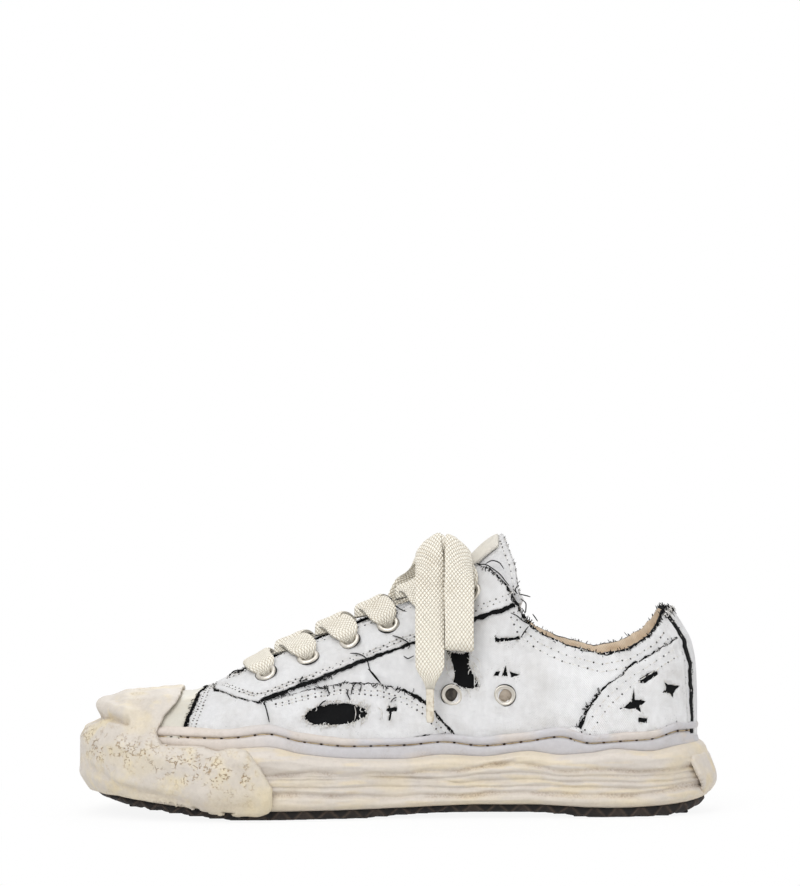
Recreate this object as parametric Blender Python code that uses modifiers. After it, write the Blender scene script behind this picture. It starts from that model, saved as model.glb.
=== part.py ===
"""Worn low-top canvas sneaker for the right foot, on a thick, lumpy rubber sole.

Metres, +Z up. The shoe stands on its tread with the toe towards -X and the outer (lateral) side towards +Y.
The origin is on the floor, under the middle of the shoe. Every piece of the upper comes from one last, a
closed form: its sections are worked out from the table LAST and grown or shrunk along their own normals.
"""

import math

import bpy
import bmesh
import numpy as np
from mathutils import Matrix, Vector

# ---------------------------------------------------------------- driving sizes
GAP = 0.0003  # between pieces that meet
WALL = 0.0020  # canvas and lining of the upper
OVERLAY = 0.0012  # one more layer of canvas
TOE_CAP_SKIN = 0.0018
TONGUE_SKIN = 0.0030
INSOLE_DEPTH = 0.0040

LAST_TOE, LAST_HEEL = -0.140, 0.1443  # ends of the upper at its feather line
TOE_ROUND, HEEL_ROUND = 5.0, 6.0  # higher is blunter, in plan
TOE_RISE = 14.0  # higher is blunter, from the side
SECTIONS, GIRTH_STEPS = 19, 12  # of a last form
RING_STEPS = 20  # of a sole ring, along each side

EYELET_HOLE, EYELET_BARREL, EYELET_FLANGE = 0.0028, 0.0036, 0.0053
EYELET_SEAT = 0.0007  # over the flat chords of the canvas
EYELET_SIDES = 8
LACE_WIDTH, LACE_DEPTH = 0.0135, 0.0022

SIDES = {"medial": -1.0, "lateral": 1.0}


class Table:
    """Rows of sizes with named columns. The first column is the place that the others are read at."""

    def __init__(self, columns, rows):
        self.columns = dict(zip(columns.split(), np.array(rows, float).T))
        self.places = next(iter(self.columns.values()))

    def at(self, column, place):
        """The column's value at a place, on a smooth curve that never overshoots its rows."""
        xs, ys = self.places, self.columns[column]
        place = np.clip(place, xs[0], xs[-1])
        step = np.diff(xs)
        slope = np.diff(ys) / step
        product = slope[:-1] * slope[1:]
        total = np.where(product > 0, slope[:-1] + slope[1:], 1.0)
        inner = np.where(product > 0, 2 * product / total, 0.0)
        tangent = np.concatenate([slope[:1], inner, slope[-1:]])
        i = np.clip(np.searchsorted(xs, place, side="right") - 1, 0, len(step) - 1)
        u = (place - xs[i]) / step[i]
        start = (1 + 2 * u) * (1 - u) ** 2 * ys[i] + u * (1 - u) ** 2 * step[i] * tangent[i]
        end = u * u * (3 - 2 * u) * ys[i + 1] - u * u * (1 - u) * step[i] * tangent[i + 1]
        return start + end


# The last: centre line, half widths of its inner and outer side, height of the ridge, fullness of a section.
LAST = Table(
    "x       centre   medial  lateral top    fullness",
    (
        (-0.140, -0.0090, 0.0460, 0.0500, 0.0545, 2.60),
        (-0.118, -0.0085, 0.0465, 0.0505, 0.0550, 2.50),
        (-0.100, -0.0070, 0.0470, 0.0510, 0.0562, 2.25),
        (-0.088, -0.0055, 0.0472, 0.0510, 0.0605, 2.10),
        (-0.062, -0.0030, 0.0475, 0.0510, 0.0745, 1.85),
        (-0.035, +0.0000, 0.0450, 0.0510, 0.0860, 1.80),
        (+0.000, +0.0020, 0.0400, 0.0465, 0.1020, 1.75),
        (+0.020, +0.0020, 0.0385, 0.0435, 0.1125, 1.80),
        (+0.036, +0.0020, 0.0370, 0.0410, 0.1250, 1.85),
        (+0.050, +0.0015, 0.0365, 0.0390, 0.1365, 1.95),
        (+0.064, +0.0015, 0.0365, 0.0385, 0.1430, 2.10),
        (+0.110, +0.0000, 0.0385, 0.0385, 0.1450, 2.40),
        (+0.1443, +0.0000, 0.0390, 0.0390, 0.1450, 2.40),
    ),
)

# The back of the heel, from the feather line to above the collar.
HEEL_CURVE = Table(
    "z       back",
    (
        (0.0200, 0.1436),
        (0.0450, 0.1443),
        (0.0680, 0.1438),
        (0.0810, 0.1418),
        (0.0900, 0.1372),
        (0.0985, 0.1315),
        (0.1450, 0.1080),
    ),
)

# Heights along the sole: lug tips, lower and upper edge of the midsole, footbed, top of the foxing's band and
# lip, and how far the sole's side stands out there, as a share of SIDE_PROFILE.
SOLE = Table(
    "x       tread   edge    flange  bed     band    lip     spread",
    (
        (-0.155, 0.0100, 0.0115, 0.0330, 0.0290, 0.0385, 0.0430, 0.55),
        (-0.141, 0.0078, 0.0108, 0.0330, 0.0285, 0.0385, 0.0430, 0.60),
        (-0.125, 0.0056, 0.0092, 0.0330, 0.0275, 0.0388, 0.0434, 0.75),
        (-0.110, 0.0038, 0.0075, 0.0352, 0.0265, 0.0392, 0.0438, 0.90),
        (-0.094, 0.0018, 0.0058, 0.0350, 0.0250, 0.0388, 0.0432, 1.00),
        (-0.085, 0.0008, 0.0051, 0.0328, 0.0245, 0.0386, 0.0431, 1.00),
        (-0.076, 0.0000, 0.0046, 0.0338, 0.0240, 0.0390, 0.0438, 1.00),
        (-0.062, 0.0000, 0.0044, 0.0345, 0.0235, 0.0405, 0.0450, 1.00),
        (-0.046, 0.0000, 0.0044, 0.0310, 0.0235, 0.0368, 0.0410, 1.00),
        (-0.022, 0.0000, 0.0046, 0.0285, 0.0240, 0.0342, 0.0380, 1.00),
        (+0.002, 0.0014, 0.0052, 0.0280, 0.0250, 0.0344, 0.0380, 1.00),
        (+0.021, 0.0023, 0.0060, 0.0300, 0.0260, 0.0360, 0.0402, 1.00),
        (+0.040, 0.0024, 0.0064, 0.0290, 0.0265, 0.0340, 0.0383, 1.00),
        (+0.062, 0.0024, 0.0064, 0.0315, 0.0270, 0.0362, 0.0404, 1.00),
        (+0.077, 0.0016, 0.0058, 0.0298, 0.0275, 0.0382, 0.0428, 1.00),
        (+0.092, 0.0000, 0.0050, 0.0308, 0.0280, 0.0352, 0.0395, 1.00),
        (+0.103, 0.0000, 0.0048, 0.0325, 0.0280, 0.0360, 0.0405, 1.00),
        (+0.119, 0.0000, 0.0052, 0.0312, 0.0280, 0.0368, 0.0410, 1.00),
        (+0.134, 0.0004, 0.0060, 0.0335, 0.0280, 0.0400, 0.0442, 0.90),
        (+0.150, 0.0048, 0.0085, 0.0345, 0.0280, 0.0385, 0.0428, 0.80),
    ),
)

# The ribbed side of the midsole: how far it stands out from the last at each share of its height.
SIDE_PROFILE = Table(
    "share   out",
    (
        (0.00, 0.0050),
        (0.07, 0.0088),
        (0.20, 0.0096),
        (0.30, 0.0076),
        (0.44, 0.0091),
        (0.60, 0.0068),
        (0.77, 0.0084),
        (0.93, 0.0072),
        (1.00, 0.0042),
    ),
)

# A plain envelope of that side, which the pieces over it are cut to.
SIDE_ENVELOPE = Table("share out", ((0.0, 0.0097), (0.5, 0.0097), (0.86, 0.0093), (1.0, 0.0080)))

# How far the foxing stands out from the last, at its band and at the lip over it.
FOXING_BAND, FOXING_LIP = 0.0026, 0.0036

# The melted toe bumper: its skirt, as height over the midsole's lower edge and outward growth,
BUMPER_SKIRT = Table(
    "height  out",
    (
        (0.0000, 0.0104),
        (0.0075, 0.0150),
        (0.0245, 0.0146),
        (0.0305, 0.0122),
        (0.0340, 0.0080),
        (0.0360, 0.0030),
    ),
)
# and the lump over the toes, as its depth on the last.
BUMPER_LUMP = Table(
    "x       depth",
    (
        (-0.140, 0.0085),
        (-0.130, 0.0080),
        (-0.120, 0.0070),
        (-0.110, 0.0060),
        (-0.100, 0.0038),
    ),
)
LUMP_REACH = 0.0075  # how far its brow hangs forwards
SKIRT_NARROWING = 0.12  # of the skirt's growth, behind the toe

# Tread
LUG_PITCH, LUG_LENGTH, LUG_DRAFT = 0.0096, 0.0056, 0.0010
SCALLOP = 0.0009  # how far the outsole rises between its lugs
OUTSOLE_INSET = 0.0040  # its outward growth from the last

# Side outlines, as (x, z) corners.
COLLAR_LINE = (
    (0.0385, 0.1195),
    (0.0445, 0.1178),
    (0.0520, 0.1105),
    (0.0565, 0.1020),
    (0.0600, 0.0940),
    (0.0680, 0.0875),
    (0.0800, 0.0822),
    (0.0970, 0.0778),
    (0.1100, 0.0802),
    (0.1205, 0.0865),
    (0.1260, 0.0930),
    (0.1285, 0.0985),
    (0.1500, 0.0985),
)
EYESTAY_LINE = (
    (-0.0880, 0.0700),
    (-0.0875, 0.0586),
    (-0.0780, 0.0558),
    (-0.0665, 0.0536),
    (0.0540, 0.0987),
    (0.0572, 0.1025),
)
VAMP_BACK = (
    (-0.0600, 0.0548),
    (-0.0420, 0.0600),
    (-0.0250, 0.0630),
    (-0.0080, 0.0625),
    (0.0050, 0.0595),
    (0.0135, 0.0550),
    (0.0200, 0.0480),
    (0.0285, 0.0380),
    (0.0300, 0.0300),
)
COUNTER_FRONT = (
    (0.0820, 0.0300),
    (0.0840, 0.0383),
    (0.0868, 0.0469),
    (0.0963, 0.0603),
    (0.1085, 0.0706),
    (0.1210, 0.0779),
    (0.1366, 0.0867),
    (0.1500, 0.0900),
)
TOE_CAP_BACK = ((-0.0925, 0.0800), (-0.0930, 0.0595), (-0.1010, 0.0460), (-0.1040, 0.0300))
BUMPER_BACK = (
    (-0.1030, 0.0700),
    (-0.1040, 0.0590),
    (-0.1060, 0.0545),
    (-0.1115, 0.0485),
    (-0.1145, 0.0410),
    (-0.1110, 0.0358),
    (-0.1000, 0.0354),
    (-0.0920, 0.0352),
    (-0.0850, 0.0330),
    (-0.0785, 0.0340),
    (-0.0725, 0.0328),
    (-0.0660, 0.0262),
    (-0.0595, 0.0155),
    (-0.0590, 0.0085),
    (-0.0640, 0.0020),
)
TONGUE_OUTLINE = (
    (-0.0800, 0.0500),
    (-0.0790, 0.1000),
    (0.0300, 0.1500),
    (0.0490, 0.1500),
    (0.0500, 0.1340),
    (0.0550, 0.1210),
    (0.0580, 0.1030),
    (0.0550, 0.0920),
    (0.0400, 0.0820),
    (0.0000, 0.0680),
    (-0.0600, 0.0480),
)
LABEL_OUTLINE = ((0.0335, 0.1000), (0.0335, 0.1500), (0.0470, 0.1500), (0.0470, 0.1000))
PLATE_FRONT = ((0.1445, 0.0285), (0.1432, 0.0260), (0.1442, 0.0200), (0.1462, 0.0140), (0.1475, 0.0100))

# The throat's half width, from its round front end to the collar.
THROAT = Table(
    "x       half",
    (
        (-0.0720, 0.0075),
        (-0.0640, 0.0095),
        (-0.0300, 0.0105),
        (+0.0360, 0.0120),
        (+0.0620, 0.0130),
    ),
)
BACK_STRIP_HALF, BACK_STRIP_ROOM, PLATE_HALF = 0.0125, 0.0022, 0.0270
LABEL_HALF, LABEL_CENTRE = 0.0112, 0.0018

EYELETS = (
    (-0.0628, 0.0660),
    (-0.0431, 0.0735),
    (-0.0233, 0.0815),
    (-0.0045, 0.0895),
    (+0.0155, 0.0975),
    (+0.0354, 0.1055),
)
VENTS = ((0.0254, 0.0578), (0.0508, 0.0578))
# Lift of a lace's middle line over the last, from its eyelet (0) to its dip under the other eyestay (1).
LACE_LIFT = Table(
    "share   straight under   over",
    (
        (0.00, 0.0046, 0.0046, 0.0046),
        (0.45, 0.0036, 0.0044, 0.0048),
        (0.77, 0.0040, 0.0036, 0.0054),
        (1.00, 0.0046, 0.0010, 0.0010),
    ),
)
# A crossing lace dips into the throat at t on the far side, at that share of the way between the two eyelets.
LACE_DIP, DIP_SHARE = 0.06, 0.45
FIRST_BAR_BOW = 0.012  # towards the toe, in s
KNOT = (0.0250, 0.0136)  # its place along the ridge and its lift off the last
KNOT_HALF = (0.0100, 0.0090, 0.0062)

# The bow hangs over the inner side: (x, y, z) of the middle of each band. On the outer side it is mirrored.
LOOP_ROUTE = (
    (0.0280, -0.0112, 0.1275),
    (0.0286, -0.0130, 0.1325),
    (0.0290, -0.0180, 0.1334),
    (0.0290, -0.0240, 0.1280),
    (0.0290, -0.0290, 0.1170),
    (0.0290, -0.0325, 0.1050),
    (0.0290, -0.0370, 0.0920),
    (0.0290, -0.0400, 0.0830),
    (0.0290, -0.0385, 0.0802),
    (0.0290, -0.0355, 0.0825),
    (0.0290, -0.0330, 0.0900),
    (0.0290, -0.0285, 0.1030),
    (0.0290, -0.0250, 0.1140),
    (0.0290, -0.0210, 0.1220),
    (0.0290, -0.0180, 0.1270),
    (0.0290, -0.0150, 0.1262),
)
END_ROUTE = (
    (0.0140, -0.0108, 0.1265),
    (0.0142, -0.0122, 0.1318),
    (0.0145, -0.0165, 0.1334),
    (0.0146, -0.0215, 0.1285),
    (0.0150, -0.0255, 0.1180),
    (0.0150, -0.0290, 0.1060),
    (0.0150, -0.0330, 0.0940),
    (0.0150, -0.0375, 0.0820),
    (0.0150, -0.0410, 0.0710),
    (0.0150, -0.0432, 0.0612),
)
OUTER_END_ROUTE = (
    (0.0150, +0.0155, 0.1262),
    (0.0155, +0.0172, 0.1300),
    (0.0150, +0.0215, 0.1296),
    (0.0126, +0.0262, 0.1225),
    (0.0080, +0.0305, 0.1130),
    (0.0028, +0.0345, 0.1040),
    (-0.0010, 0.0390, 0.0920),
    (-0.0035, 0.0445, 0.0800),
    (-0.0040, 0.0485, 0.0690),
    (-0.0045, 0.0510, 0.0600),
)
OUTER_LOOP_REACH, OUTER_LOOP_SHIFT = 1.14, (0.0018, 0.0040, 0.0)  # of the inner loop's mirror image
AGLET_LENGTH, AGLET_WIDTH, AGLET_DEPTH = 0.0156, 0.0038, 0.0030


# ---------------------------------------------------------------- the last
def ease(value, low, high):
    """0 below low, 1 above high, and a smooth step between."""
    u = np.clip((value - low) / (high - low), 0, 1)
    return u * u * (3 - 2 * u)


def last_section(s):
    """A section's place along the shoe, end-to-end share, plan width share, base height and ridge height."""
    along = -np.cos(math.pi * s)
    x = (LAST_TOE + LAST_HEEL) / 2 + (LAST_HEEL - LAST_TOE) / 2 * along
    width = np.sqrt(np.clip(1 - np.abs(along) ** np.where(along < 0, TOE_ROUND, HEEL_ROUND), 0, 1))
    return x, along, width, SOLE.at("bed", x), LAST.at("top", x)


def lean_of(z, along):
    """How far the heel's curved back moves a point forwards."""
    return (HEEL_CURVE.at("back", z) - LAST_HEEL) * ease(along, 0.35, 1.0)


def last_surface(s, t):
    """Points of the last: s runs from toe (0) to heel (1), t from the inner feather line (-1) outwards."""
    x, along, width, base, top = last_section(s)
    rise = np.where(along < 0, np.sqrt(np.clip(1 - np.abs(along) ** TOE_RISE, 0, 1)), 1.0)
    half = np.where(t < 0, LAST.at("medial", x), LAST.at("lateral", x)) * width
    power = 2 / LAST.at("fullness", x)
    angle = np.abs(t) * math.pi / 2
    y = LAST.at("centre", x) + np.sign(t) * half * np.sin(angle) ** power
    z = base + (top - base) * rise * np.clip(np.cos(angle), 0, 1) ** power
    return np.stack([x + lean_of(z, along), y, z], axis=-1)


def last_points(s, t, offset=0.0):
    """Points at a distance outside the last, and the normals there."""
    step = 1e-4
    s_in, t_in = np.clip(s, 2e-3, 1 - 1e-9), np.clip(t, -0.999, 0.999)
    along = last_surface(np.clip(s_in + step, 0, 1), t_in) - last_surface(s_in - step, t_in)
    across = last_surface(s_in, t_in + step) - last_surface(s_in, t_in - step)
    normal = np.cross(along, across)
    normal[..., 1] = np.where(np.asarray(s) > 1 - 1e-9, 0.0, normal[..., 1])
    normal /= np.maximum(np.linalg.norm(normal, axis=-1, keepdims=True), 1e-12)
    normal = np.where((np.asarray(s) < 1e-6)[..., None], np.array([-1.0, 0.0, 0.0]), normal)
    surface = last_surface(s, t)
    return surface + np.broadcast_to(offset, surface.shape[:-1])[..., None] * normal, normal


def place_on_side(x, z, side):
    """(s, t) of the last's surface at a place seen from the side. side is -1 for medial, 1 for lateral."""
    middle, reach = (LAST_TOE + LAST_HEEL) / 2, (LAST_HEEL - LAST_TOE) / 2
    s = math.acos(-(x - middle) / reach) / math.pi
    low, high = 0.0, 1.0
    for _ in range(40):
        t = (low + high) / 2
        if last_surface(np.array(s), np.array(side * t))[2] > z:
            low = t
        else:
            high = t
    return s, side * (low + high) / 2


def surface_frame(s, t, offset):
    """A matrix at a distance outside the last: its X runs heelwards, its Z outwards."""
    point, normal = last_points(np.array(s), np.array(t), offset)
    ahead = last_surface(np.array(s + 1e-3), np.array(t)) - last_surface(np.array(s - 1e-3), np.array(t))
    z_axis = Vector(normal)
    x_axis = Vector(ahead)
    x_axis = (x_axis - z_axis * x_axis.dot(z_axis)).normalized()
    y_axis = z_axis.cross(x_axis)
    rotation = Matrix((x_axis, y_axis, z_axis)).transposed().to_4x4()
    return Matrix.Translation(Vector(point)) @ rotation


# ---------------------------------------------------------------- meshes
def clear_scene():
    for obj in list(bpy.data.objects):
        bpy.data.objects.remove(obj)


def collection(name):
    made = bpy.data.collections.new(name)
    bpy.context.scene.collection.children.link(made)
    return made


def material(name, colour, roughness, metallic=0.0):
    made = bpy.data.materials.new(name)
    made.use_nodes = True
    shader = made.node_tree.nodes["Principled BSDF"]
    shader.inputs["Base Color"].default_value = (*colour, 1.0)
    shader.inputs["Roughness"].default_value = roughness
    shader.inputs["Metallic"].default_value = metallic
    return made


def link(obj, where, finish):
    """Puts an object in its collection. One without a finish is a cutter."""
    where.objects.link(obj)
    if finish:
        obj.data.materials.append(finish)
    else:
        obj.hide_render = True
        obj.display_type = "WIRE"
    return obj


def add_loft(name, loops, where, finish=None, capped=False):
    """A closed solid through closed loops of points. Its ends meet in a point or a line, or are capped."""
    bm = bmesh.new()
    size = len(loops[0])
    verts = [[bm.verts.new(p) for p in loop] for loop in loops]
    for a, b in zip(verts, verts[1:]):
        for i in range(size):
            j = (i + 1) % size
            bm.faces.new((a[i], a[j], b[j], b[i]))
    if capped:
        half = size // 2
        for ring in (verts[0], verts[-1]):
            for i in range(half):
                strip = (ring[i], ring[i + 1], ring[(size - i - 1) % size], ring[(size - i) % size])
                bm.faces.new(list(dict.fromkeys(strip)))
    bmesh.ops.remove_doubles(bm, verts=bm.verts, dist=4e-6)
    bmesh.ops.dissolve_degenerate(bm, edges=bm.edges, dist=1e-6)
    bmesh.ops.triangulate(bm, faces=bm.faces)
    bmesh.ops.recalc_face_normals(bm, faces=bm.faces)
    mesh = bpy.data.meshes.new(name)
    bm.to_mesh(mesh)
    bm.free()
    return link(bpy.data.objects.new(name, mesh), where, finish)


def last_form(name, offset, where, finish=None, drop=0.0, shift=None):
    """The closed last grown by offset, a size or a function of x, with its flat underside lowered by drop."""
    lengthwise, girth = np.linspace(0, 1, SECTIONS + 1), np.linspace(-1, 1, GIRTH_STEPS + 1)
    grid_s, grid_t = np.meshgrid(lengthwise, girth, indexing="ij")
    if callable(offset):
        offset = offset(last_section(grid_s)[0])
    points, _ = last_points(grid_s, grid_t, offset)
    if shift:
        points = shift(points)
    down = np.array([0, 0, drop])
    rows = np.concatenate([points[:, :1] - down, points, points[:, -1:] - down], axis=1)
    return add_loft(name, rows, where, finish)


def plan_ring(out, height):
    """A closed ring round the last: its outline at height(x), grown by out(x). The inner side comes first."""
    s = np.linspace(0, 1, RING_STEPS + 1)
    x, along, width, base, top = last_section(s)
    z = height(x)
    power = 2 / LAST.at("fullness", x)
    cosine = np.clip((z - base) / (top - base), 0, 0.9) ** (1 / power)
    inward = np.sqrt(1 - cosine**2) ** power
    ring = []
    for column, side in (("medial", -1.0), ("lateral", 1.0)):
        y = LAST.at("centre", x) + side * LAST.at(column, x) * width * inward
        line = np.column_stack([x + lean_of(z, along), y])
        tangent = np.gradient(line, axis=0)
        normal = np.column_stack([-tangent[:, 1], tangent[:, 0]]) * side
        normal[0], normal[-1] = (-1, 0), (1, 0)
        normal /= np.linalg.norm(normal, axis=1, keepdims=True)
        grown = line + normal * np.broadcast_to(out(x), x.shape)[:, None]
        points = np.column_stack([grown, height(grown[:, 0])])
        ring.append(points if side < 0 else points[::-1][1:-1])
    return np.concatenate(ring)


def prism(name, outline, where, low, high, axis="y"):
    """A cutter with that outline, seen from the side (axis y, outline in x and z) or from above (axis z)."""
    bm = bmesh.new()
    place = (lambda a, b, c: (a, c, b)) if axis == "y" else (lambda a, b, c: (a, b, c))
    bottom = [bm.verts.new(place(a, b, low)) for a, b in outline]
    face = bm.faces.new(bottom)
    top = bmesh.ops.extrude_face_region(bm, geom=[face], use_keep_orig=True)["geom"]
    move = place(0, 0, high - low)
    bmesh.ops.translate(bm, vec=move, verts=[v for v in top if isinstance(v, bmesh.types.BMVert)])
    bmesh.ops.recalc_face_normals(bm, faces=bm.faces)
    mesh = bpy.data.meshes.new(name)
    bm.to_mesh(mesh)
    bm.free()
    return link(bpy.data.objects.new(name, mesh), where, None)


def boolean(obj, cutter, operation="DIFFERENCE"):
    modifier = obj.modifiers.new(f"{operation.lower()} {cutter.name}", "BOOLEAN")
    modifier.operation = operation
    modifier.object = cutter
    modifier.solver = "EXACT"
    return obj


def below_line(name, height, where):
    """A cutter of all that is under height(x)."""
    xs = np.linspace(-0.17, 0.17, 69)
    outline = [(x, float(height(x))) for x in xs] + [(0.17, -0.05), (-0.17, -0.05)]
    return prism(name, outline, where, -0.2, 0.2)


# ---------------------------------------------------------------- sole
def midsole_rings(profile, grow=0.0):
    """The midsole's rings, from its lower edge to the flange, grown by a clearance."""
    rings = []
    for share, out in zip(profile.places, profile.columns["out"]):

        def height(x, share=share):
            low, high = SOLE.at("edge", x) - grow, SOLE.at("flange", x) + grow
            return low + share * (high - low)

        rings.append(plan_ring(lambda x, out=out: out * SOLE.at("spread", x) + grow, height))
    return rings


def foxing_rings(grow=0.0, foot=()):
    """The foxing's rings: a band on the flange and a rounded lip over it. A foot is added for its room."""
    levels = (
        *foot,
        ("flange", GAP - grow, FOXING_BAND),
        ("band", 0.0, FOXING_BAND),
        ("band", 0.0012, FOXING_LIP),
        ("lip", grow, FOXING_LIP - 0.0010),
    )
    rings = []
    for column, rise, out in levels:
        height = lambda x, column=column, rise=rise: SOLE.at(column, x) + rise
        rings.append(plan_ring(lambda x, out=out: np.full_like(x, out + grow), height))
    return rings


def skirt_rings():
    """The toe bumper's skirt, in rings from its lower edge."""
    rings = []
    for rise, out in zip(BUMPER_SKIRT.places, BUMPER_SKIRT.columns["out"]):
        growth = lambda x, out=out: out * (1 - SKIRT_NARROWING * ease(x, -0.135, -0.105))
        rings.append(plan_ring(growth, lambda x, rise=rise: SOLE.at("edge", x) + rise))
    return rings


def hang_brow(points):
    """Pushes the upper front of the lump forwards."""
    x, z = points[..., 0], points[..., 2]
    reach = LUMP_REACH * ease(z, 0.034, 0.048) * ease(-x, 0.108, 0.134)
    return points - np.stack([reach, 0 * reach, 0 * reach], axis=-1)


def tread_profile():
    """The outsole seen from the side, worn to a shallow scallop between the lugs."""
    top, bottom = [], []
    first, last = -0.150, 0.152
    x = first
    while x < last:
        corners = (
            (x, SCALLOP),
            (x + LUG_DRAFT, 0.0),
            (x + LUG_DRAFT + LUG_LENGTH, 0.0),
            (x + 2 * LUG_DRAFT + LUG_LENGTH, SCALLOP),
        )
        for place, rise in corners:
            bottom.append((place, float(SOLE.at("tread", place)) + rise))
        top += [(place, float(SOLE.at("edge", place)) - GAP) for place, _ in (corners[0], corners[2])]
        x += LUG_PITCH
    return bottom + top[::-1]


def make_sole(parts, cutters, rubber, cream, tread):
    """Outsole, midsole with its footbed, foxing, toe bumper and heel plate."""
    cavity = last_form("cut footbed", GAP, cutters, drop=GAP)
    outline = plan_ring(lambda x: np.full_like(x, OUTSOLE_INSET), lambda x: np.full_like(x, -0.02))
    raised = outline + np.array([0, 0, 0.05])
    rim = add_loft("cut outsole rim", [outline, raised], cutters, capped=True)
    outsole = prism("outsole", tread_profile(), parts, -0.1, 0.1)
    outsole.hide_render = False
    outsole.display_type = "TEXTURED"
    outsole.data.materials.append(tread)
    boolean(outsole, rim, "INTERSECT")

    midsole = add_loft("midsole", midsole_rings(SIDE_PROFILE), parts, cream, capped=True)
    boolean(midsole, cavity)
    foxing = add_loft("foxing", foxing_rings(), parts, rubber, capped=True)
    boolean(foxing, cavity)

    midsole_room = add_loft("room for midsole", midsole_rings(SIDE_ENVELOPE, GAP), cutters, capped=True)
    room_foot = [("flange", -0.04, FOXING_BAND)]
    foxing_room = add_loft("room for foxing", foxing_rings(GAP, room_foot), cutters, capped=True)
    lump = last_form("toe lump", lambda x: BUMPER_LUMP.at("depth", x), cutters, shift=hang_brow)
    front = [(-0.2, 0.07)] + list(BUMPER_BACK) + [(-0.2, 0.002)]
    bumper = add_loft("toe_bumper", skirt_rings(), parts, cream, capped=True)
    boolean(bumper, lump, "UNION")
    boolean(bumper, prism("bumper outline", front, cutters, -0.1, 0.1), "INTERSECT")
    boolean(bumper, last_form("room for toe cap", TOE_CAP_SKIN + 2 * GAP, cutters, drop=0.003))
    boolean(bumper, midsole_room)
    boolean(bumper, foxing_room)

    plate_rings = []
    for height in (0.0102, 0.0120, 0.0200, 0.0270, 0.0285):
        inner = 0.0010 if height in (0.0102, 0.0285) else 0.0
        growth = lambda x, inner=inner: np.full_like(x, 0.0106 - inner)
        plate_rings.append(plan_ring(growth, lambda x, height=height: np.full_like(x, height)))
    plate = add_loft("heel_plate", plate_rings, parts, cream, capped=True)
    outline = [(0.2, 0.0295)] + list(PLATE_FRONT) + [(0.2, 0.0095)]
    boolean(plate, prism("plate outline", outline, cutters, -PLATE_HALF, PLATE_HALF), "INTERSECT")
    boolean(plate, midsole_room)
    return [outsole, midsole, foxing, bumper, plate]


# ---------------------------------------------------------------- upper
def collar_cutter(name, where, drop=0.0):
    """All above the collar line, lowered by drop for the layers that stop short of it."""
    line = [(x, z - drop) for x, z in COLLAR_LINE]
    return prism(name, line + [(0.2, 0.1), (0.2, 0.2), (line[0][0], 0.2)], where, -0.1, 0.1)


def throat_cutter(name, where, grow=0.0):
    """The slot over the tongue, round at its front."""
    xs = np.linspace(THROAT.places[0], THROAT.places[-1], 9)
    centre, half = LAST.at("centre", xs), THROAT.at("half", xs) + grow
    angles = np.radians(np.linspace(-90, -270, 7)[1:-1])
    front = [(xs[0] + half[0] * math.cos(a), centre[0] + half[0] * math.sin(a)) for a in angles]
    outline = front + list(zip(xs, centre + half)) + list(zip(xs[::-1], (centre - half)[::-1]))
    return prism(name, outline, where, 0.045, 0.2, axis="z")


def hole_cutter(name, frames, where, radius):
    """One cutter of round bars through all the eyelets' places."""
    bm = bmesh.new()
    bar = {"radius1": radius, "radius2": radius, "depth": 0.012}
    for frame in frames:
        bmesh.ops.create_cone(bm, cap_ends=True, segments=EYELET_SIDES, matrix=frame, **bar)
    mesh = bpy.data.meshes.new(name)
    bm.to_mesh(mesh)
    bm.free()
    return link(bpy.data.objects.new(name, mesh), where, None)


def overlay(name, outline, parts, cutters, finish, depth=OVERLAY, reach=(-0.1, 0.1)):
    """One more layer on the last, inside a side outline, over the foxing and under the collar."""
    layer = last_form(name, GAP + depth, parts, finish, drop=0.002)
    boolean(layer, prism(f"{name} outline", outline, cutters, *reach), "INTERSECT")
    boolean(layer, bpy.data.objects["cut on last"])
    boolean(layer, bpy.data.objects["room for foxing"])
    boolean(layer, bpy.data.objects["cut under collar"])
    return layer


def eyelet_frames(places, offset):
    return [surface_frame(*place_on_side(x, z, side), offset) for side in SIDES.values() for x, z in places]


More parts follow.
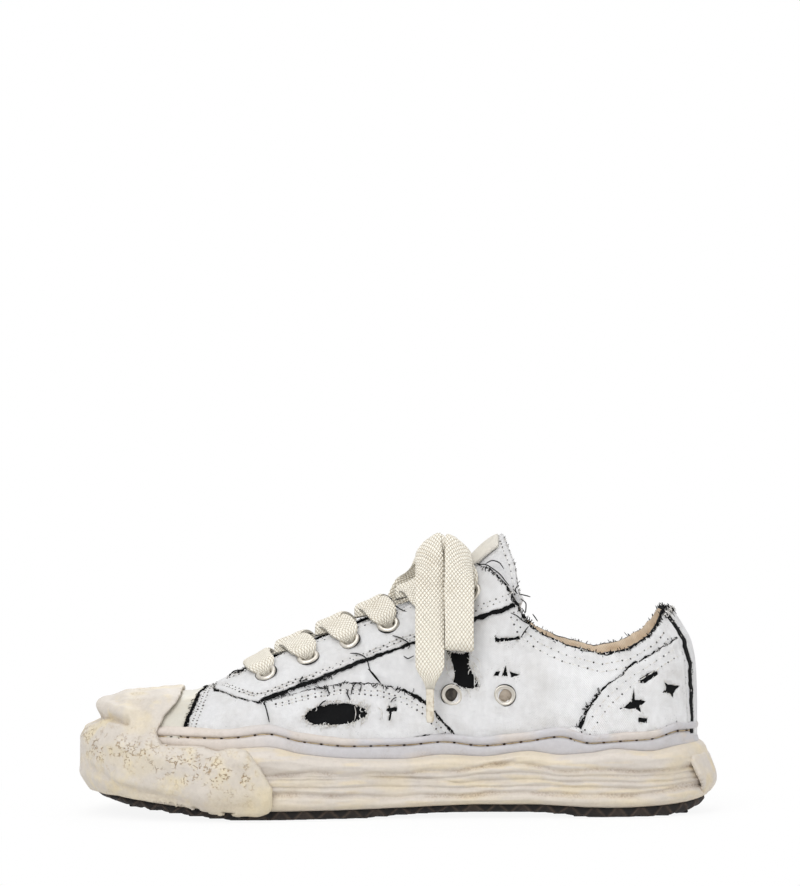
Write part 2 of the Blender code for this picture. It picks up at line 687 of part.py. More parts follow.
def make_upper(parts, cutters, canvas, black, rubber, lining):
    """The hollow upper and the layers on it, the tongue and the insole."""
    last_form("cut on last", GAP, cutters, drop=0.01)
    collar_cutter("cut under collar", cutters, drop=0.0012)
    throat = throat_cutter("cut throat", cutters)
    wide_throat = throat_cutter("cut throat of eyestay", cutters, grow=0.0012)
    vents = [surface_frame(*place_on_side(x, z, -1.0), 0.0) for x, z in VENTS]
    holes = hole_cutter("cut holes", eyelet_frames(EYELETS, 0.0) + vents, cutters, EYELET_BARREL + GAP)

    upper = last_form("upper", 0.0, parts, black)
    boolean(upper, last_form("cut inside", -WALL, cutters, drop=0.01))
    boolean(upper, collar_cutter("cut collar", cutters))
    boolean(upper, throat)
    boolean(upper, holes)

    eyestay_outline = [*EYESTAY_LINE, (0.0578, 0.1040), (0.0578, 0.2), (-0.0880, 0.2)]
    eyestay = overlay("eyestay", eyestay_outline, parts, cutters, canvas)
    boolean(eyestay, wide_throat)
    boolean(eyestay, holes)

    gap = 2 * GAP
    vamp_outline = [(x + gap, z) for x, z in TOE_CAP_BACK] + list(VAMP_BACK[::-1])
    vamp_outline += [(x - gap, z - gap) for x, z in EYESTAY_LINE[3:0:-1]] + [(EYESTAY_LINE[0][0] - gap, 0.08)]
    vamp = overlay("vamp", vamp_outline, parts, cutters, canvas)

    counter = list(COUNTER_FRONT) + [(0.2, 0.09), (0.2, 0.03)]
    edge = BACK_STRIP_HALF + BACK_STRIP_ROOM
    counters = [
        overlay("counter_medial", counter, parts, cutters, canvas, reach=(-0.1, -edge)),
        overlay("counter_lateral", counter, parts, cutters, canvas, reach=(edge, 0.1)),
    ]
    strip = [(0.10, 0.03), (0.10, 0.2), (0.2, 0.2), (0.2, 0.03)]
    reach = (-BACK_STRIP_HALF, BACK_STRIP_HALF)
    back_strip = overlay("back_strip", strip, parts, cutters, canvas, reach=reach)
    front = [*TOE_CAP_BACK, (-0.2, 0.03), (-0.2, 0.08)]
    cap = overlay("toe_cap", front, parts, cutters, rubber, depth=TOE_CAP_SKIN)

    inside = WALL + GAP
    tongue = last_form("tongue", -inside, parts, canvas)
    boolean(tongue, prism("tongue outline", TONGUE_OUTLINE, cutters, -0.1, 0.1), "INTERSECT")
    boolean(tongue, last_form("cut under tongue", -inside - TONGUE_SKIN, cutters, drop=0.01))
    label = last_form("tongue_label", -inside + GAP + 0.0010, parts, canvas)
    reach = (LABEL_CENTRE - LABEL_HALF, LABEL_CENTRE + LABEL_HALF)
    boolean(label, prism("label outline", LABEL_OUTLINE, cutters, *reach), "INTERSECT")
    boolean(label, last_form("cut under label", -inside + GAP, cutters, drop=0.01))

    insole = last_form("insole", -inside, parts, lining)
    insole_top = below_line("cut insole", lambda x: SOLE.at("bed", x) + INSOLE_DEPTH, cutters)
    boolean(insole, insole_top, "INTERSECT")
    return [upper, eyestay, vamp, *counters, back_strip, cap, tongue, label, insole]


# ---------------------------------------------------------------- eyelets and lace
def make_eyelets(parts, nickel):
    """A turned ring in every hole. Its flange lies on the outermost layer there."""
    top, foot = 0.0008, WALL + OVERLAY + EYELET_SEAT
    ring = ((EYELET_FLANGE, 0), (EYELET_BARREL, 0), (EYELET_BARREL, -foot), (EYELET_HOLE, -foot))
    profile = [(r, 0, z) for r, z in (*ring, (EYELET_HOLE, top))]
    mesh = bpy.data.meshes.new("eyelet")
    mesh.from_pydata(profile, [(i, (i + 1) % len(profile)) for i in range(len(profile))], [])
    made = []
    lift = GAP + OVERLAY + EYELET_SEAT
    frames = {}
    for side, sign in SIDES.items():
        for number, (x, z) in enumerate(EYELETS, 1):
            frames[f"eyelet_{side}_{number}"] = surface_frame(*place_on_side(x, z, sign), lift)
    for number, (x, z) in enumerate(VENTS, 1):
        frames[f"vent_{number}"] = surface_frame(*place_on_side(x, z, -1.0), EYELET_SEAT)
    for name, frame in frames.items():
        obj = link(bpy.data.objects.new(name, mesh), parts, None)
        obj.hide_render = False
        obj.display_type = "TEXTURED"
        obj.matrix_world = frame
        screw = obj.modifiers.new("turn", "SCREW")
        screw.steps = screw.render_steps = EYELET_SIDES
        screw.merge_threshold = 1e-6
        screw.use_merge_vertices = True
        made.append(obj)
    mesh.materials.append(nickel)
    return made


def ribbon(name, middles, across, outward, width, depth, parts, finish):
    """A flat band along its middle points, given the directions of its width and of its face."""
    loops = []
    for point, a, n in zip(middles, across, outward):
        a, n = np.array(a) * width / 2, np.array(n) * depth / 2
        loops.append([point - a - n, point + a - n, point + a + n, point - a + n])
    return add_loft(name, loops, parts, finish, capped=True)


def hanging_ribbon(name, route, width, depth, parts, finish):
    """A band along a route whose width runs with the shoe's length."""
    middles = np.array(route)
    tangent = np.gradient(middles, axis=0)
    tangent /= np.linalg.norm(tangent, axis=1, keepdims=True)
    ahead = np.array([1.0, 0.0, 0.0])
    across = ahead - tangent * (tangent @ ahead)[:, None]
    across /= np.linalg.norm(across, axis=1, keepdims=True)
    return ribbon(name, middles, across, np.cross(tangent, across), width, depth, parts, finish)


def crossing_band(name, start, end, lift, parts, finish, bow=0.0):
    """A lace from one (s, t) on the last to another, at the lifts of a column of LACE_LIFT."""
    share = np.linspace(0, 1, 8)
    s = start[0] + (end[0] - start[0]) * share - bow * np.sin(math.pi * share)
    t = start[1] + (end[1] - start[1]) * share
    middles, normal = last_points(s, t, LACE_LIFT.at(lift, share))
    across = np.cross(normal, np.gradient(middles, axis=0))
    across /= np.linalg.norm(across, axis=1, keepdims=True)
    return ribbon(name, middles, across, normal, LACE_WIDTH, LACE_DEPTH, parts, finish)


def make_lace(parts, cutters, cord, plastic):
    """The first bar, the crossings between the eyelets, the knot, and the bow's loops and ends."""
    inner = [place_on_side(x, z, -1.0) for x, z in EYELETS]
    outer = [place_on_side(x, z, 1.0) for x, z in EYELETS]
    made = [crossing_band("lace_bar_1", inner[0], outer[0], "straight", parts, cord, FIRST_BAR_BOW)]
    for k in range(1, len(EYELETS)):
        dip = inner[k - 1][0] + (inner[k][0] - inner[k - 1][0]) * DIP_SHARE
        under = crossing_band(f"lace_crossing_{k + 1}", inner[k], (dip, LACE_DIP), "under", parts, cord)
        over = crossing_band(f"over {k + 1}", outer[k], (dip, -LACE_DIP), "over", cutters, None)
        made.append(boolean(under, over, "UNION"))

    mesh = bpy.data.meshes.new("lace_knot")
    bm = bmesh.new()
    squash = Matrix.Diagonal((*KNOT_HALF, 1.0))
    bmesh.ops.create_uvsphere(bm, u_segments=10, v_segments=6, radius=1.0, matrix=squash)
    bm.to_mesh(mesh)
    bm.free()
    knot = link(bpy.data.objects.new("lace_knot", mesh), parts, cord)
    knot.matrix_world = surface_frame(*place_on_side(KNOT[0], 1.0, -1.0), KNOT[1])
    made.append(knot)

    dx, dy, dz = OUTER_LOOP_SHIFT
    outer_loop = [(x + dx, dy - y * OUTER_LOOP_REACH, z + dz) for x, y, z in LOOP_ROUTE]
    bow = {"medial": (LOOP_ROUTE, END_ROUTE), "lateral": (outer_loop, OUTER_END_ROUTE)}
    for side, (loop, end) in bow.items():
        made.append(hanging_ribbon(f"lace_loop_{side}", loop, LACE_WIDTH, LACE_DEPTH, parts, cord))
        made.append(hanging_ribbon(f"lace_end_{side}", end, LACE_WIDTH, LACE_DEPTH, parts, cord))
        tip, before = np.array(end[-1]), np.array(end[-2])
        down = (tip - before) / np.linalg.norm(tip - before)
        aglet = [tip + down * GAP, tip + down * AGLET_LENGTH / 2, tip + down * AGLET_LENGTH]
        made.append(hanging_ribbon(f"aglet_{side}", aglet, AGLET_WIDTH, AGLET_DEPTH, parts, plastic))
    return made


def main():
    clear_scene()
    parts = collection("worn sneaker")
    cutters = collection("cutters")
    cream = material("yellowed midsole rubber", (0.72, 0.63, 0.50), 0.62)
    rubber = material("pale foxing rubber", (0.74, 0.71, 0.68), 0.55)
    tread = material("dark outsole rubber", (0.035, 0.026, 0.022), 0.75)
    canvas = material("white canvas", (0.80, 0.80, 0.80), 0.85)
    black = material("black canvas", (0.012, 0.014, 0.018), 0.9)
    lining = material("beige lining", (0.62, 0.48, 0.35), 0.85)
    cord = material("ecru lace", (0.72, 0.66, 0.54), 0.9)
    nickel = material("nickel eyelet", (0.60, 0.58, 0.54), 0.35, 1.0)
    plastic = material("clear aglet", (0.75, 0.70, 0.58), 0.3)
    made = make_sole(parts, cutters, rubber, cream, tread)
    made += make_upper(parts, cutters, canvas, black, rubber, lining)
    made += make_eyelets(parts, nickel)
    made += make_lace(parts, cutters, cord, plastic)
    for obj in made:
        obj.data.shade_smooth()
        obj.data.set_sharp_from_angle(angle=math.radians(40))


main()
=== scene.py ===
"""A worn-out right sneaker on a plain pale floor, dressed over its fixed frame."""

from __future__ import annotations

import logging
import math
from dataclasses import dataclass, field
from enum import Enum
from typing import Callable, Iterable, Mapping, Sequence

import bmesh
import bpy
import numpy as np
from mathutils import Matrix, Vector
from mathutils.geometry import delaunay_2d_cdt
from mathutils.kdtree import KDTree

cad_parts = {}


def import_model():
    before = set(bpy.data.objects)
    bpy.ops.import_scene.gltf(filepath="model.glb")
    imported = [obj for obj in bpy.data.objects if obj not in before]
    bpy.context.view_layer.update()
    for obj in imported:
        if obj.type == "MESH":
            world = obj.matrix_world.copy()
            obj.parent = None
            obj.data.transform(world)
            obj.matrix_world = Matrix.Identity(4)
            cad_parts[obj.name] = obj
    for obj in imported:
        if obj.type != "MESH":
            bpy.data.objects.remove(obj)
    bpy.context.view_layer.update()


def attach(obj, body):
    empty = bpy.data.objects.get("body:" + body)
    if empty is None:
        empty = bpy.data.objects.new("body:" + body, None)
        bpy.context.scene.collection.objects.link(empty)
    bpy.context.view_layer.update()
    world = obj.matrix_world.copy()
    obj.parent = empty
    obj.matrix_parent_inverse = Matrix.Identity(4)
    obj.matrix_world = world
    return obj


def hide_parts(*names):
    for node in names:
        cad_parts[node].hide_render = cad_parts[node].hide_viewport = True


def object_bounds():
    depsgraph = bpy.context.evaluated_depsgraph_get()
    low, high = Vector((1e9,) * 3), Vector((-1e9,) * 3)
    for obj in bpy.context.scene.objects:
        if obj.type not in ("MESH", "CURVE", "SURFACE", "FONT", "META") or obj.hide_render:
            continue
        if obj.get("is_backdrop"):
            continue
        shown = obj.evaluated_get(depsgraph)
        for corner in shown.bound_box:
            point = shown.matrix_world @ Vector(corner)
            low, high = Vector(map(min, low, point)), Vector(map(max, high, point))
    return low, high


log = logging.getLogger("sneaker")
Array = np.ndarray
Piece = bpy.types.Object
Material = bpy.types.Material
Socket = bpy.types.NodeSocket
Corners = Sequence[tuple[float, float]]
Route = Sequence[tuple[float, float, float]]
MM = 0.001
MEDIAL, LATERAL = -1.0, 1.0
SIDES = {"medial": MEDIAL, "lateral": LATERAL}


# ---------------------------------------------------------------- numbers
class Table:
    """Rows of sizes with named columns, read at any place of the first column."""

    def __init__(self, columns: str, rows: Sequence[Sequence[float]]) -> None:
        """Keeps the rows.

        Args:
            columns: The columns' names, of which the first is the place.
            rows: A row of sizes for each place, in order.
        """
        self.columns = dict(zip(columns.split(), np.array(rows, float).T))
        self.places: Array = next(iter(self.columns.values()))

    def at(self, column: str, place: Array | float) -> Array:
        """Reads a column on a smooth curve that never overshoots its rows.

        Args:
            column: The column's name.
            place: Where it is read.

        Returns:
            The column's values there.
        """
        xs, ys = self.places, self.columns[column]
        place = np.clip(place, xs[0], xs[-1])
        step = np.diff(xs)
        slope = np.diff(ys) / step
        product = slope[:-1] * slope[1:]
        total = np.where(product > 0, slope[:-1] + slope[1:], 1.0)
        inner = np.where(product > 0, 2 * product / total, 0.0)
        tangent = np.concatenate([slope[:1], inner, slope[-1:]])
        i = np.clip(np.searchsorted(xs, place, side="right") - 1, 0, len(step) - 1)
        u = (place - xs[i]) / step[i]
        start = (1 + 2 * u) * (1 - u) ** 2 * ys[i] + u * (1 - u) ** 2 * step[i] * tangent[i]
        end = u * u * (3 - 2 * u) * ys[i + 1] - u * u * (1 - u) * step[i] * tangent[i + 1]
        return start + end


def ease(value: Array | float, low: float, high: float) -> Array:
    """0 below low, 1 above high, and a smooth step between."""
    u = np.clip((value - low) / (high - low), 0, 1)
    return u * u * (3 - 2 * u)


def hump(off: Array | float, width: float) -> Array:
    """A smooth hump of that half width, with 1 on its top where off is 0."""
    return np.exp(-((off / width) ** 2))


def unit(vectors: Array) -> Array:
    """The same directions with a length of 1."""
    return vectors / np.maximum(np.linalg.norm(vectors, axis=-1, keepdims=True), 1e-12)


def run(line: Array) -> Array:
    """How far along a line each of its points is."""
    return np.concatenate([[0], np.cumsum(np.linalg.norm(np.diff(line, axis=0), axis=1))])


def placed(line: Array, way: Array, values: Array | None = None) -> Array:
    """Reads a line between its points.

    Args:
        line: The line's points.
        way: How far along the line it is read.
        values: What its points have, or None for the places of the line itself.

    Returns:
        The places or the values there.
    """
    gone = run(line)
    columns = (line if values is None else values).T
    return np.stack([np.interp(way, gone, column) for column in columns], axis=-1)


def resample(line: Array, count: int) -> Array:
    """The line's points again, count of them at equal distances, on a smooth curve.

    Args:
        line: The points that the curve goes through.
        count: How many points are made.

    Returns:
        The new points.
    """
    line = np.asarray(line, float)
    gone = run(line)
    at = np.linspace(0, gone[-1], 4 * count)
    fine = np.stack([Table("d v", np.column_stack([gone, column])).at("v", at) for column in line.T], axis=-1)
    return placed(fine, np.linspace(0, run(fine)[-1], count))


def dense(line: Array, step: float, closed: bool = False) -> Array:
    """Straight runs between the corners, with points no further apart than step.

    Args:
        line: The corners.
        step: The longest gap.
        closed: Whether the last corner joins the first.

    Returns:
        The corners and the points between them.
    """
    line = np.asarray(line, float)
    if closed:
        line = np.concatenate([line, line[:1]])
    made = []
    for a, b in zip(line, line[1:]):
        count = max(1, int(np.ceil(np.linalg.norm(b - a) / step)))
        made.append(a + (b - a) * np.linspace(0, 1, count, endpoint=False)[:, None])
    return np.concatenate(made if closed else made + [line[-1:]])


def inside(points: Array, loop: Array) -> Array:
    """Whether each point of the plane is inside a closed loop, by even and odd crossings.

    Args:
        points: Places of the plane.
        loop: The corners of the loop.

    Returns:
        True or False for each place.
    """
    x, y = points[:, 0], points[:, 1]
    within = np.zeros(len(points), bool)
    for (ax, ay), (bx, by) in zip(loop, np.roll(loop, -1, axis=0)):
        if ay == by:
            continue
        rows = np.flatnonzero((ay > y) != (by > y))
        cross = ax + (y[rows] - ay) / (by - ay) * (bx - ax)
        within[rows] ^= x[rows] < cross
    return within


def apart(spots: Array, line: Array) -> tuple[Array, Array]:
    """The distance of each spot of the plane from a line, and how far along the line it is, from 0 to 1.

    Args:
        spots: Places of the plane.
        line: The line's points.

    Returns:
        The distances, and the shares from 0 to 1.
    """
    nearest, along = np.full(len(spots), 9.0), np.zeros(len(spots))
    for k, (a, b) in enumerate(zip(line, line[1:])):
        share = np.clip((spots - a) @ (b - a) / ((b - a) @ (b - a)), 0, 1)
        gap = np.linalg.norm(spots - a - share[:, None] * (b - a), axis=1)
        along = np.where(gap < nearest, (k + share) / (len(line) - 1), along)
        nearest = np.minimum(gap, nearest)
    return nearest, along


class Noise:
    """Smooth random values over space, the same at every run."""

    def __init__(self, seed: int) -> None:
        """Fills a repeating lattice of 32 cells a side."""
        self.cells = np.random.default_rng(seed).uniform(-1, 1, (32, 32, 32))

    def at(self, points: Array, size: float, octaves: int = 2, shift: float = 0.0, up: float = 1.0) -> Array:
        """Reads the noise.

        Args:
            points: Places with two or three coordinates on their last axis.
            size: The width of a lump, in millimetres.
            octaves: How many halvings of the size are added.
            shift: How far off the noise is read, for another pattern from the same lattice.
            up: How many times flatter the lumps are than wide, or 0 for lumps that run straight up.

        Returns:
            A value from about -1 to 1 for each place.
        """
        points = np.asarray(points, float)
        if points.shape[-1] == 2:
            points = np.concatenate([points + shift, np.zeros_like(points[..., :1])], axis=-1)
        else:
            points = points * np.array([1, 1, up]) + shift
        total, weight = np.zeros(points.shape[:-1]), 1.0
        for octave in range(octaves):
            place = points / (size * MM) * 2**octave + 7.31 * (octave + 1)
            cell = np.floor(place).astype(int)
            share = place - cell
            share = share * share * (3 - 2 * share)
            value = np.zeros_like(total)
            for corner in np.ndindex(2, 2, 2):
                i, j, k = (((cell[..., a] + corner[a]) % 32) for a in range(3))
                part = [share[..., a] if corner[a] else 1 - share[..., a] for a in range(3)]
                value += self.cells[i, j, k] * part[0] * part[1] * part[2]
            total += value * weight
            weight /= 2
        return total


# ---------------------------------------------------------------- the last
class Last:
    """The form inside the shoe. s runs from toe (0) to heel (1), t from the inner feather line (-1) over the
    ridge (0) to the outer one (1)."""

    toe, heel = -0.140, 0.1443
    toe_round, heel_round, toe_rise = 5.0, 6.0, 14.0
    middle, reach = (toe + heel) / 2, (heel - toe) / 2
    girth = 0.095
    sizes = Table(
        "x       centre   medial  lateral top    fullness",
        (
            (-0.140, -0.0090, 0.0460, 0.0500, 0.0545, 2.60),
            (-0.118, -0.0085, 0.0465, 0.0505, 0.0550, 2.50),
            (-0.100, -0.0070, 0.0470, 0.0510, 0.0562, 2.25),
            (-0.088, -0.0055, 0.0472, 0.0510, 0.0605, 2.10),
            (-0.062, -0.0030, 0.0475, 0.0510, 0.0745, 1.85),
            (-0.035, +0.0000, 0.0450, 0.0510, 0.0860, 1.80),
            (+0.000, +0.0020, 0.0400, 0.0465, 0.1020, 1.75),
            (+0.020, +0.0020, 0.0385, 0.0435, 0.1125, 1.80),
            (+0.036, +0.0020, 0.0370, 0.0410, 0.1250, 1.85),
            (+0.050, +0.0015, 0.0365, 0.0390, 0.1365, 1.95),
            (+0.064, +0.0015, 0.0365, 0.0385, 0.1430, 2.10),
            (+0.110, +0.0000, 0.0385, 0.0385, 0.1450, 2.40),
            (+0.1443, +0.0000, 0.0390, 0.0390, 0.1450, 2.40),
        ),
    )
    heel_curve = Table(
        "z       back",
        (
            (0.0200, 0.1436),
            (0.0450, 0.1443),
            (0.0680, 0.1438),
            (0.0810, 0.1418),
            (0.0900, 0.1372),
            (0.0985, 0.1315),
            (0.1450, 0.1080),
        ),
    )
    sole = Table(
        "x       tread   edge    flange  bed     band    lip     spread",
        (
            (-0.155, 0.0100, 0.0115, 0.0330, 0.0290, 0.0385, 0.0430, 0.55),
            (-0.141, 0.0078, 0.0108, 0.0330, 0.0285, 0.0385, 0.0430, 0.60),
            (-0.125, 0.0056, 0.0092, 0.0330, 0.0275, 0.0388, 0.0434, 0.75),
            (-0.110, 0.0038, 0.0075, 0.0352, 0.0265, 0.0392, 0.0438, 0.90),
            (-0.094, 0.0018, 0.0058, 0.0350, 0.0250, 0.0388, 0.0432, 1.00),
            (-0.085, 0.0008, 0.0051, 0.0328, 0.0245, 0.0386, 0.0431, 1.00),
            (-0.076, 0.0000, 0.0046, 0.0338, 0.0240, 0.0390, 0.0438, 1.00),
            (-0.062, 0.0000, 0.0044, 0.0345, 0.0235, 0.0405, 0.0450, 1.00),
            (-0.046, 0.0000, 0.0044, 0.0310, 0.0235, 0.0368, 0.0410, 1.00),
            (-0.022, 0.0000, 0.0046, 0.0285, 0.0240, 0.0342, 0.0380, 1.00),
            (+0.002, 0.0014, 0.0052, 0.0280, 0.0250, 0.0344, 0.0380, 1.00),
            (+0.021, 0.0023, 0.0060, 0.0300, 0.0260, 0.0360, 0.0402, 1.00),
            (+0.040, 0.0024, 0.0064, 0.0290, 0.0265, 0.0340, 0.0383, 1.00),
            (+0.062, 0.0024, 0.0064, 0.0315, 0.0270, 0.0362, 0.0404, 1.00),
            (+0.077, 0.0016, 0.0058, 0.0298, 0.0275, 0.0382, 0.0428, 1.00),
            (+0.092, 0.0000, 0.0050, 0.0308, 0.0280, 0.0352, 0.0395, 1.00),
            (+0.103, 0.0000, 0.0048, 0.0325, 0.0280, 0.0360, 0.0405, 1.00),
            (+0.119, 0.0000, 0.0052, 0.0312, 0.0280, 0.0368, 0.0410, 1.00),
            (+0.134, 0.0004, 0.0060, 0.0335, 0.0280, 0.0400, 0.0442, 0.90),
            (+0.150, 0.0048, 0.0085, 0.0345, 0.0280, 0.0385, 0.0428, 0.80),
        ),
    )

    def __init__(self) -> None:
        """Measures the way round the shoe, from the toe to the back of the heel."""
        s = np.linspace(0, 1, 801)
        line = self.surface(s, np.full_like(s, -0.55))
        self.places = s
        self.ways = run(line)

    def section(self, s: Array) -> tuple[Array, Array, Array, Array, Array]:
        """A section's place, end-to-end share, plan width share, base height and ridge height.

        Args:
            s: Places from toe to heel.

        Returns:
            The five sizes, each for every place.
        """
        along = -np.cos(math.pi * s)
        x = self.middle + self.reach * along
        power = np.where(along < 0, self.toe_round, self.heel_round)
        width = np.sqrt(np.clip(1 - np.abs(along) ** power, 0, 1))
        return x, along, width, self.sole.at("bed", x), self.sizes.at("top", x)

    def lean(self, z: Array, along: Array) -> Array:
        """How far the heel's curved back moves a point forwards."""
        return (self.heel_curve.at("back", z) - self.heel) * ease(along, 0.35, 1.0)

    def surface(self, s: Array, t: Array) -> Array:
        """Points of the last at (s, t).

        Args:
            s: Places from toe to heel.
            t: Places across.

        Returns:
            The points.
        """
        x, along, width, base, top = self.section(s)
        rise = np.where(along < 0, np.sqrt(np.clip(1 - np.abs(along) ** self.toe_rise, 0, 1)), 1.0)
        half = np.where(t < 0, self.sizes.at("medial", x), self.sizes.at("lateral", x)) * width
        power = 2 / self.sizes.at("fullness", x)
        angle = np.abs(t) * math.pi / 2
        y = self.sizes.at("centre", x) + np.sign(t) * half * np.sin(angle) ** power
        z = base + (top - base) * rise * np.clip(np.cos(angle), 0, 1) ** power
        return np.stack([x + self.lean(z, along), y, z], axis=-1)

    def points(self, s: Array, t: Array, offset: Array | float = 0.0) -> tuple[Array, Array]:
        """Points at a distance outside the last, and the normals there.

        Args:
            s: Places from toe to heel.
            t: Places across.
            offset: The distance, one for all or one for each.

        Returns:
            The points and the unit normals.
        """
        s, t = np.asarray(s, float), np.asarray(t, float)
        step = 1e-4
        s_in, t_in = np.clip(s, 2e-3, 1 - 1e-9), np.clip(t, -0.999, 0.999)
        along = self.surface(np.clip(s_in + step, 0, 1), t_in) - self.surface(s_in - step, t_in)
        across = self.surface(s_in, t_in + step) - self.surface(s_in, t_in - step)
        normal = np.cross(along, across)
        normal[..., 1] = np.where(s > 1 - 1e-9, 0.0, normal[..., 1])
        normal = unit(normal)
        normal = np.where((s < 1e-6)[..., None], np.array([-1.0, 0.0, 0.0]), normal)
        surface = self.surface(s, t)
        return surface + np.broadcast_to(offset, surface.shape[:-1])[..., None] * normal, normal

    def locate(self, x: Array | float, z: Array | float, side: float) -> tuple[Array, Array]:
        """(s, t) of the places seen at (x, z) from one side.

        Args:
            x: Places along the shoe.
            z: Heights.
            side: The side that they are seen from.

        Returns:
            s and t.
        """
        x, z = np.asarray(x, float), np.asarray(z, float)
        along = np.clip((x - self.middle) / self.reach, -1, 1)
        for _ in range(12):
            along = np.clip((x - self.lean(z, along) - self.middle) / self.reach, -1, 1)
        s = np.arccos(-along) / math.pi
        _, along, _, base, top = self.section(s)
        rise = np.where(along < 0, np.sqrt(np.clip(1 - np.abs(along) ** self.toe_rise, 1e-9, 1)), 1.0)
        power = 2 / self.sizes.at("fullness", self.middle + self.reach * along)
        height = np.clip((z - base) / ((top - base) * rise), 0, 1)
        return s, side * np.arccos(height ** (1 / power)) * 2 / math.pi

    def across(self, x: Array | float, off: Array | float) -> tuple[Array, Array]:
        """(s, t) of the places on top at x, that far to the side of the centre line.

        Args:
            x: Places along the shoe.
            off: Distances, less than 0 on the inner side.

        Returns:
            s and t.
        """
        s = np.arccos(-np.clip((x - self.middle) / self.reach, -1, 1)) / math.pi
        _, _, width, _, _ = self.section(s)
        half = np.where(off < 0, self.sizes.at("medial", x), self.sizes.at("lateral", x)) * width
        share = np.clip(np.abs(off) / np.maximum(half, 1e-9), 0, 1)
        power = 2 / self.sizes.at("fullness", x)
        return s, np.sign(off) * np.arcsin(share ** (1 / power)) * 2 / math.pi

    def unroll(self, s: Array, t: Array) -> Array:
        """Flat cloth places (p, q) in metres of (s, t)."""
        return np.stack([np.interp(s, self.places, self.ways), np.asarray(t) * self.girth], axis=-1)

    def roll(self, flat: Array) -> tuple[Array, Array]:
        """(s, t) of flat cloth places (p, q)."""
        flat = np.asarray(flat, float)
        return np.interp(flat[..., 0], self.ways, self.places), flat[..., 1] / self.girth

    def seen(self, x: Array | float, z: Array | float, side: float) -> Array:
        """Flat places of what is seen at (x, z) from one side."""
        return self.unroll(*self.locate(x, z, side))

    def ridge(self, x: float, side: float) -> Array:
        """The flat place on the centre line at x, as the end of one side's line."""
        return self.unroll(*self.across(np.array([x]), np.array([side * 1e-6])))

    def outline(self, corners: Iterable[tuple[float, float]], side: float) -> Array:
        """Flat places of a line that is given by its (x, z) corners as seen from one side."""
        return self.seen(*dense(np.array(list(corners)), 0.8 * MM).T, side)

    def ring(self, out: Array | float, height: Array, count: int = 340) -> Array:
        """A closed ring round the last.

        Args:
            out: How far it stands out from the last, one for all or one for each place of way().
            height: Its height at each place of way().
            count: Places along each side.

        Returns:
            Its points, the inner side's from toe to heel and then the outer side's back.
        """
        s = self.way(count)
        x, along, width, base, top = self.section(s)
        out = np.broadcast_to(out, (2, len(s)))
        height = np.broadcast_to(height, (2, len(s)))
        power = 2 / self.sizes.at("fullness", x)
        made = []
        for row, (column, side) in enumerate(SIDES.items()):
            z = height[row]
            cosine = np.clip((z - base) / (top - base), 0, 0.9) ** (1 / power)
            inward = np.sqrt(1 - cosine**2) ** power
            y = self.sizes.at("centre", x) + side * self.sizes.at(column, x) * width * inward
            line = np.column_stack([x + self.lean(z, along), y])
            tangent = np.gradient(line, axis=0)
            normal = np.column_stack([-tangent[:, 1], tangent[:, 0]]) * side
            normal[0], normal[-1] = (-1, 0), (1, 0)
            grown = line + unit(normal) * out[row][:, None]
            made.append(np.column_stack([grown, z]))
        return np.concatenate([made[0], made[1][::-1][1:-1]])

    def way(self, count: int = 340) -> Array:
        """Places s from toe to heel at about equal distances round the sole."""
        s = np.linspace(0, 1, 2001)
        line = self.surface(s, np.full_like(s, -0.98))
        gone = run(line)
        return np.interp(np.linspace(0, gone[-1], count), gone, s)


LAST = Last()
HEAVE = Noise(3)


# ---------------------------------------------------------------- shader maths
class Wire:
    """A number that varies over a surface. Arithmetic on it adds the nodes for it."""

    def __init__(self, nodes: "Nodes", socket: Socket) -> None:
        """Wraps an output socket."""
        self.nodes, self.socket = nodes, socket

    def __add__(self, other: "Wire | float") -> "Wire":
        """The sum."""
        return self.nodes.maths("ADD", self, other)

    def __sub__(self, other: "Wire | float") -> "Wire":
        """The difference."""
        return self.nodes.maths("SUBTRACT", self, other)

    def __rsub__(self, other: float) -> "Wire":
        """The difference, from a plain number."""
        return self.nodes.maths("SUBTRACT", other, self)

    def __mul__(self, other: "Wire | float") -> "Wire":
        """The product."""
        return self.nodes.maths("MULTIPLY", self, other)

    def __pow__(self, other: float) -> "Wire":
        """A power."""
        return self.nodes.maths("POWER", self, other)

    __radd__, __rmul__ = __add__, __mul__


Colour = tuple[float, float, float]


def tint(red: float, green: float, blue: float) -> Colour:
    """A linear colour from its display values of 0 to 255."""
    parts = (v / 255 for v in (red, green, blue))
    return tuple(v / 12.92 if v <= 0.04045 else ((v + 0.055) / 1.055) ** 2.4 for v in parts)


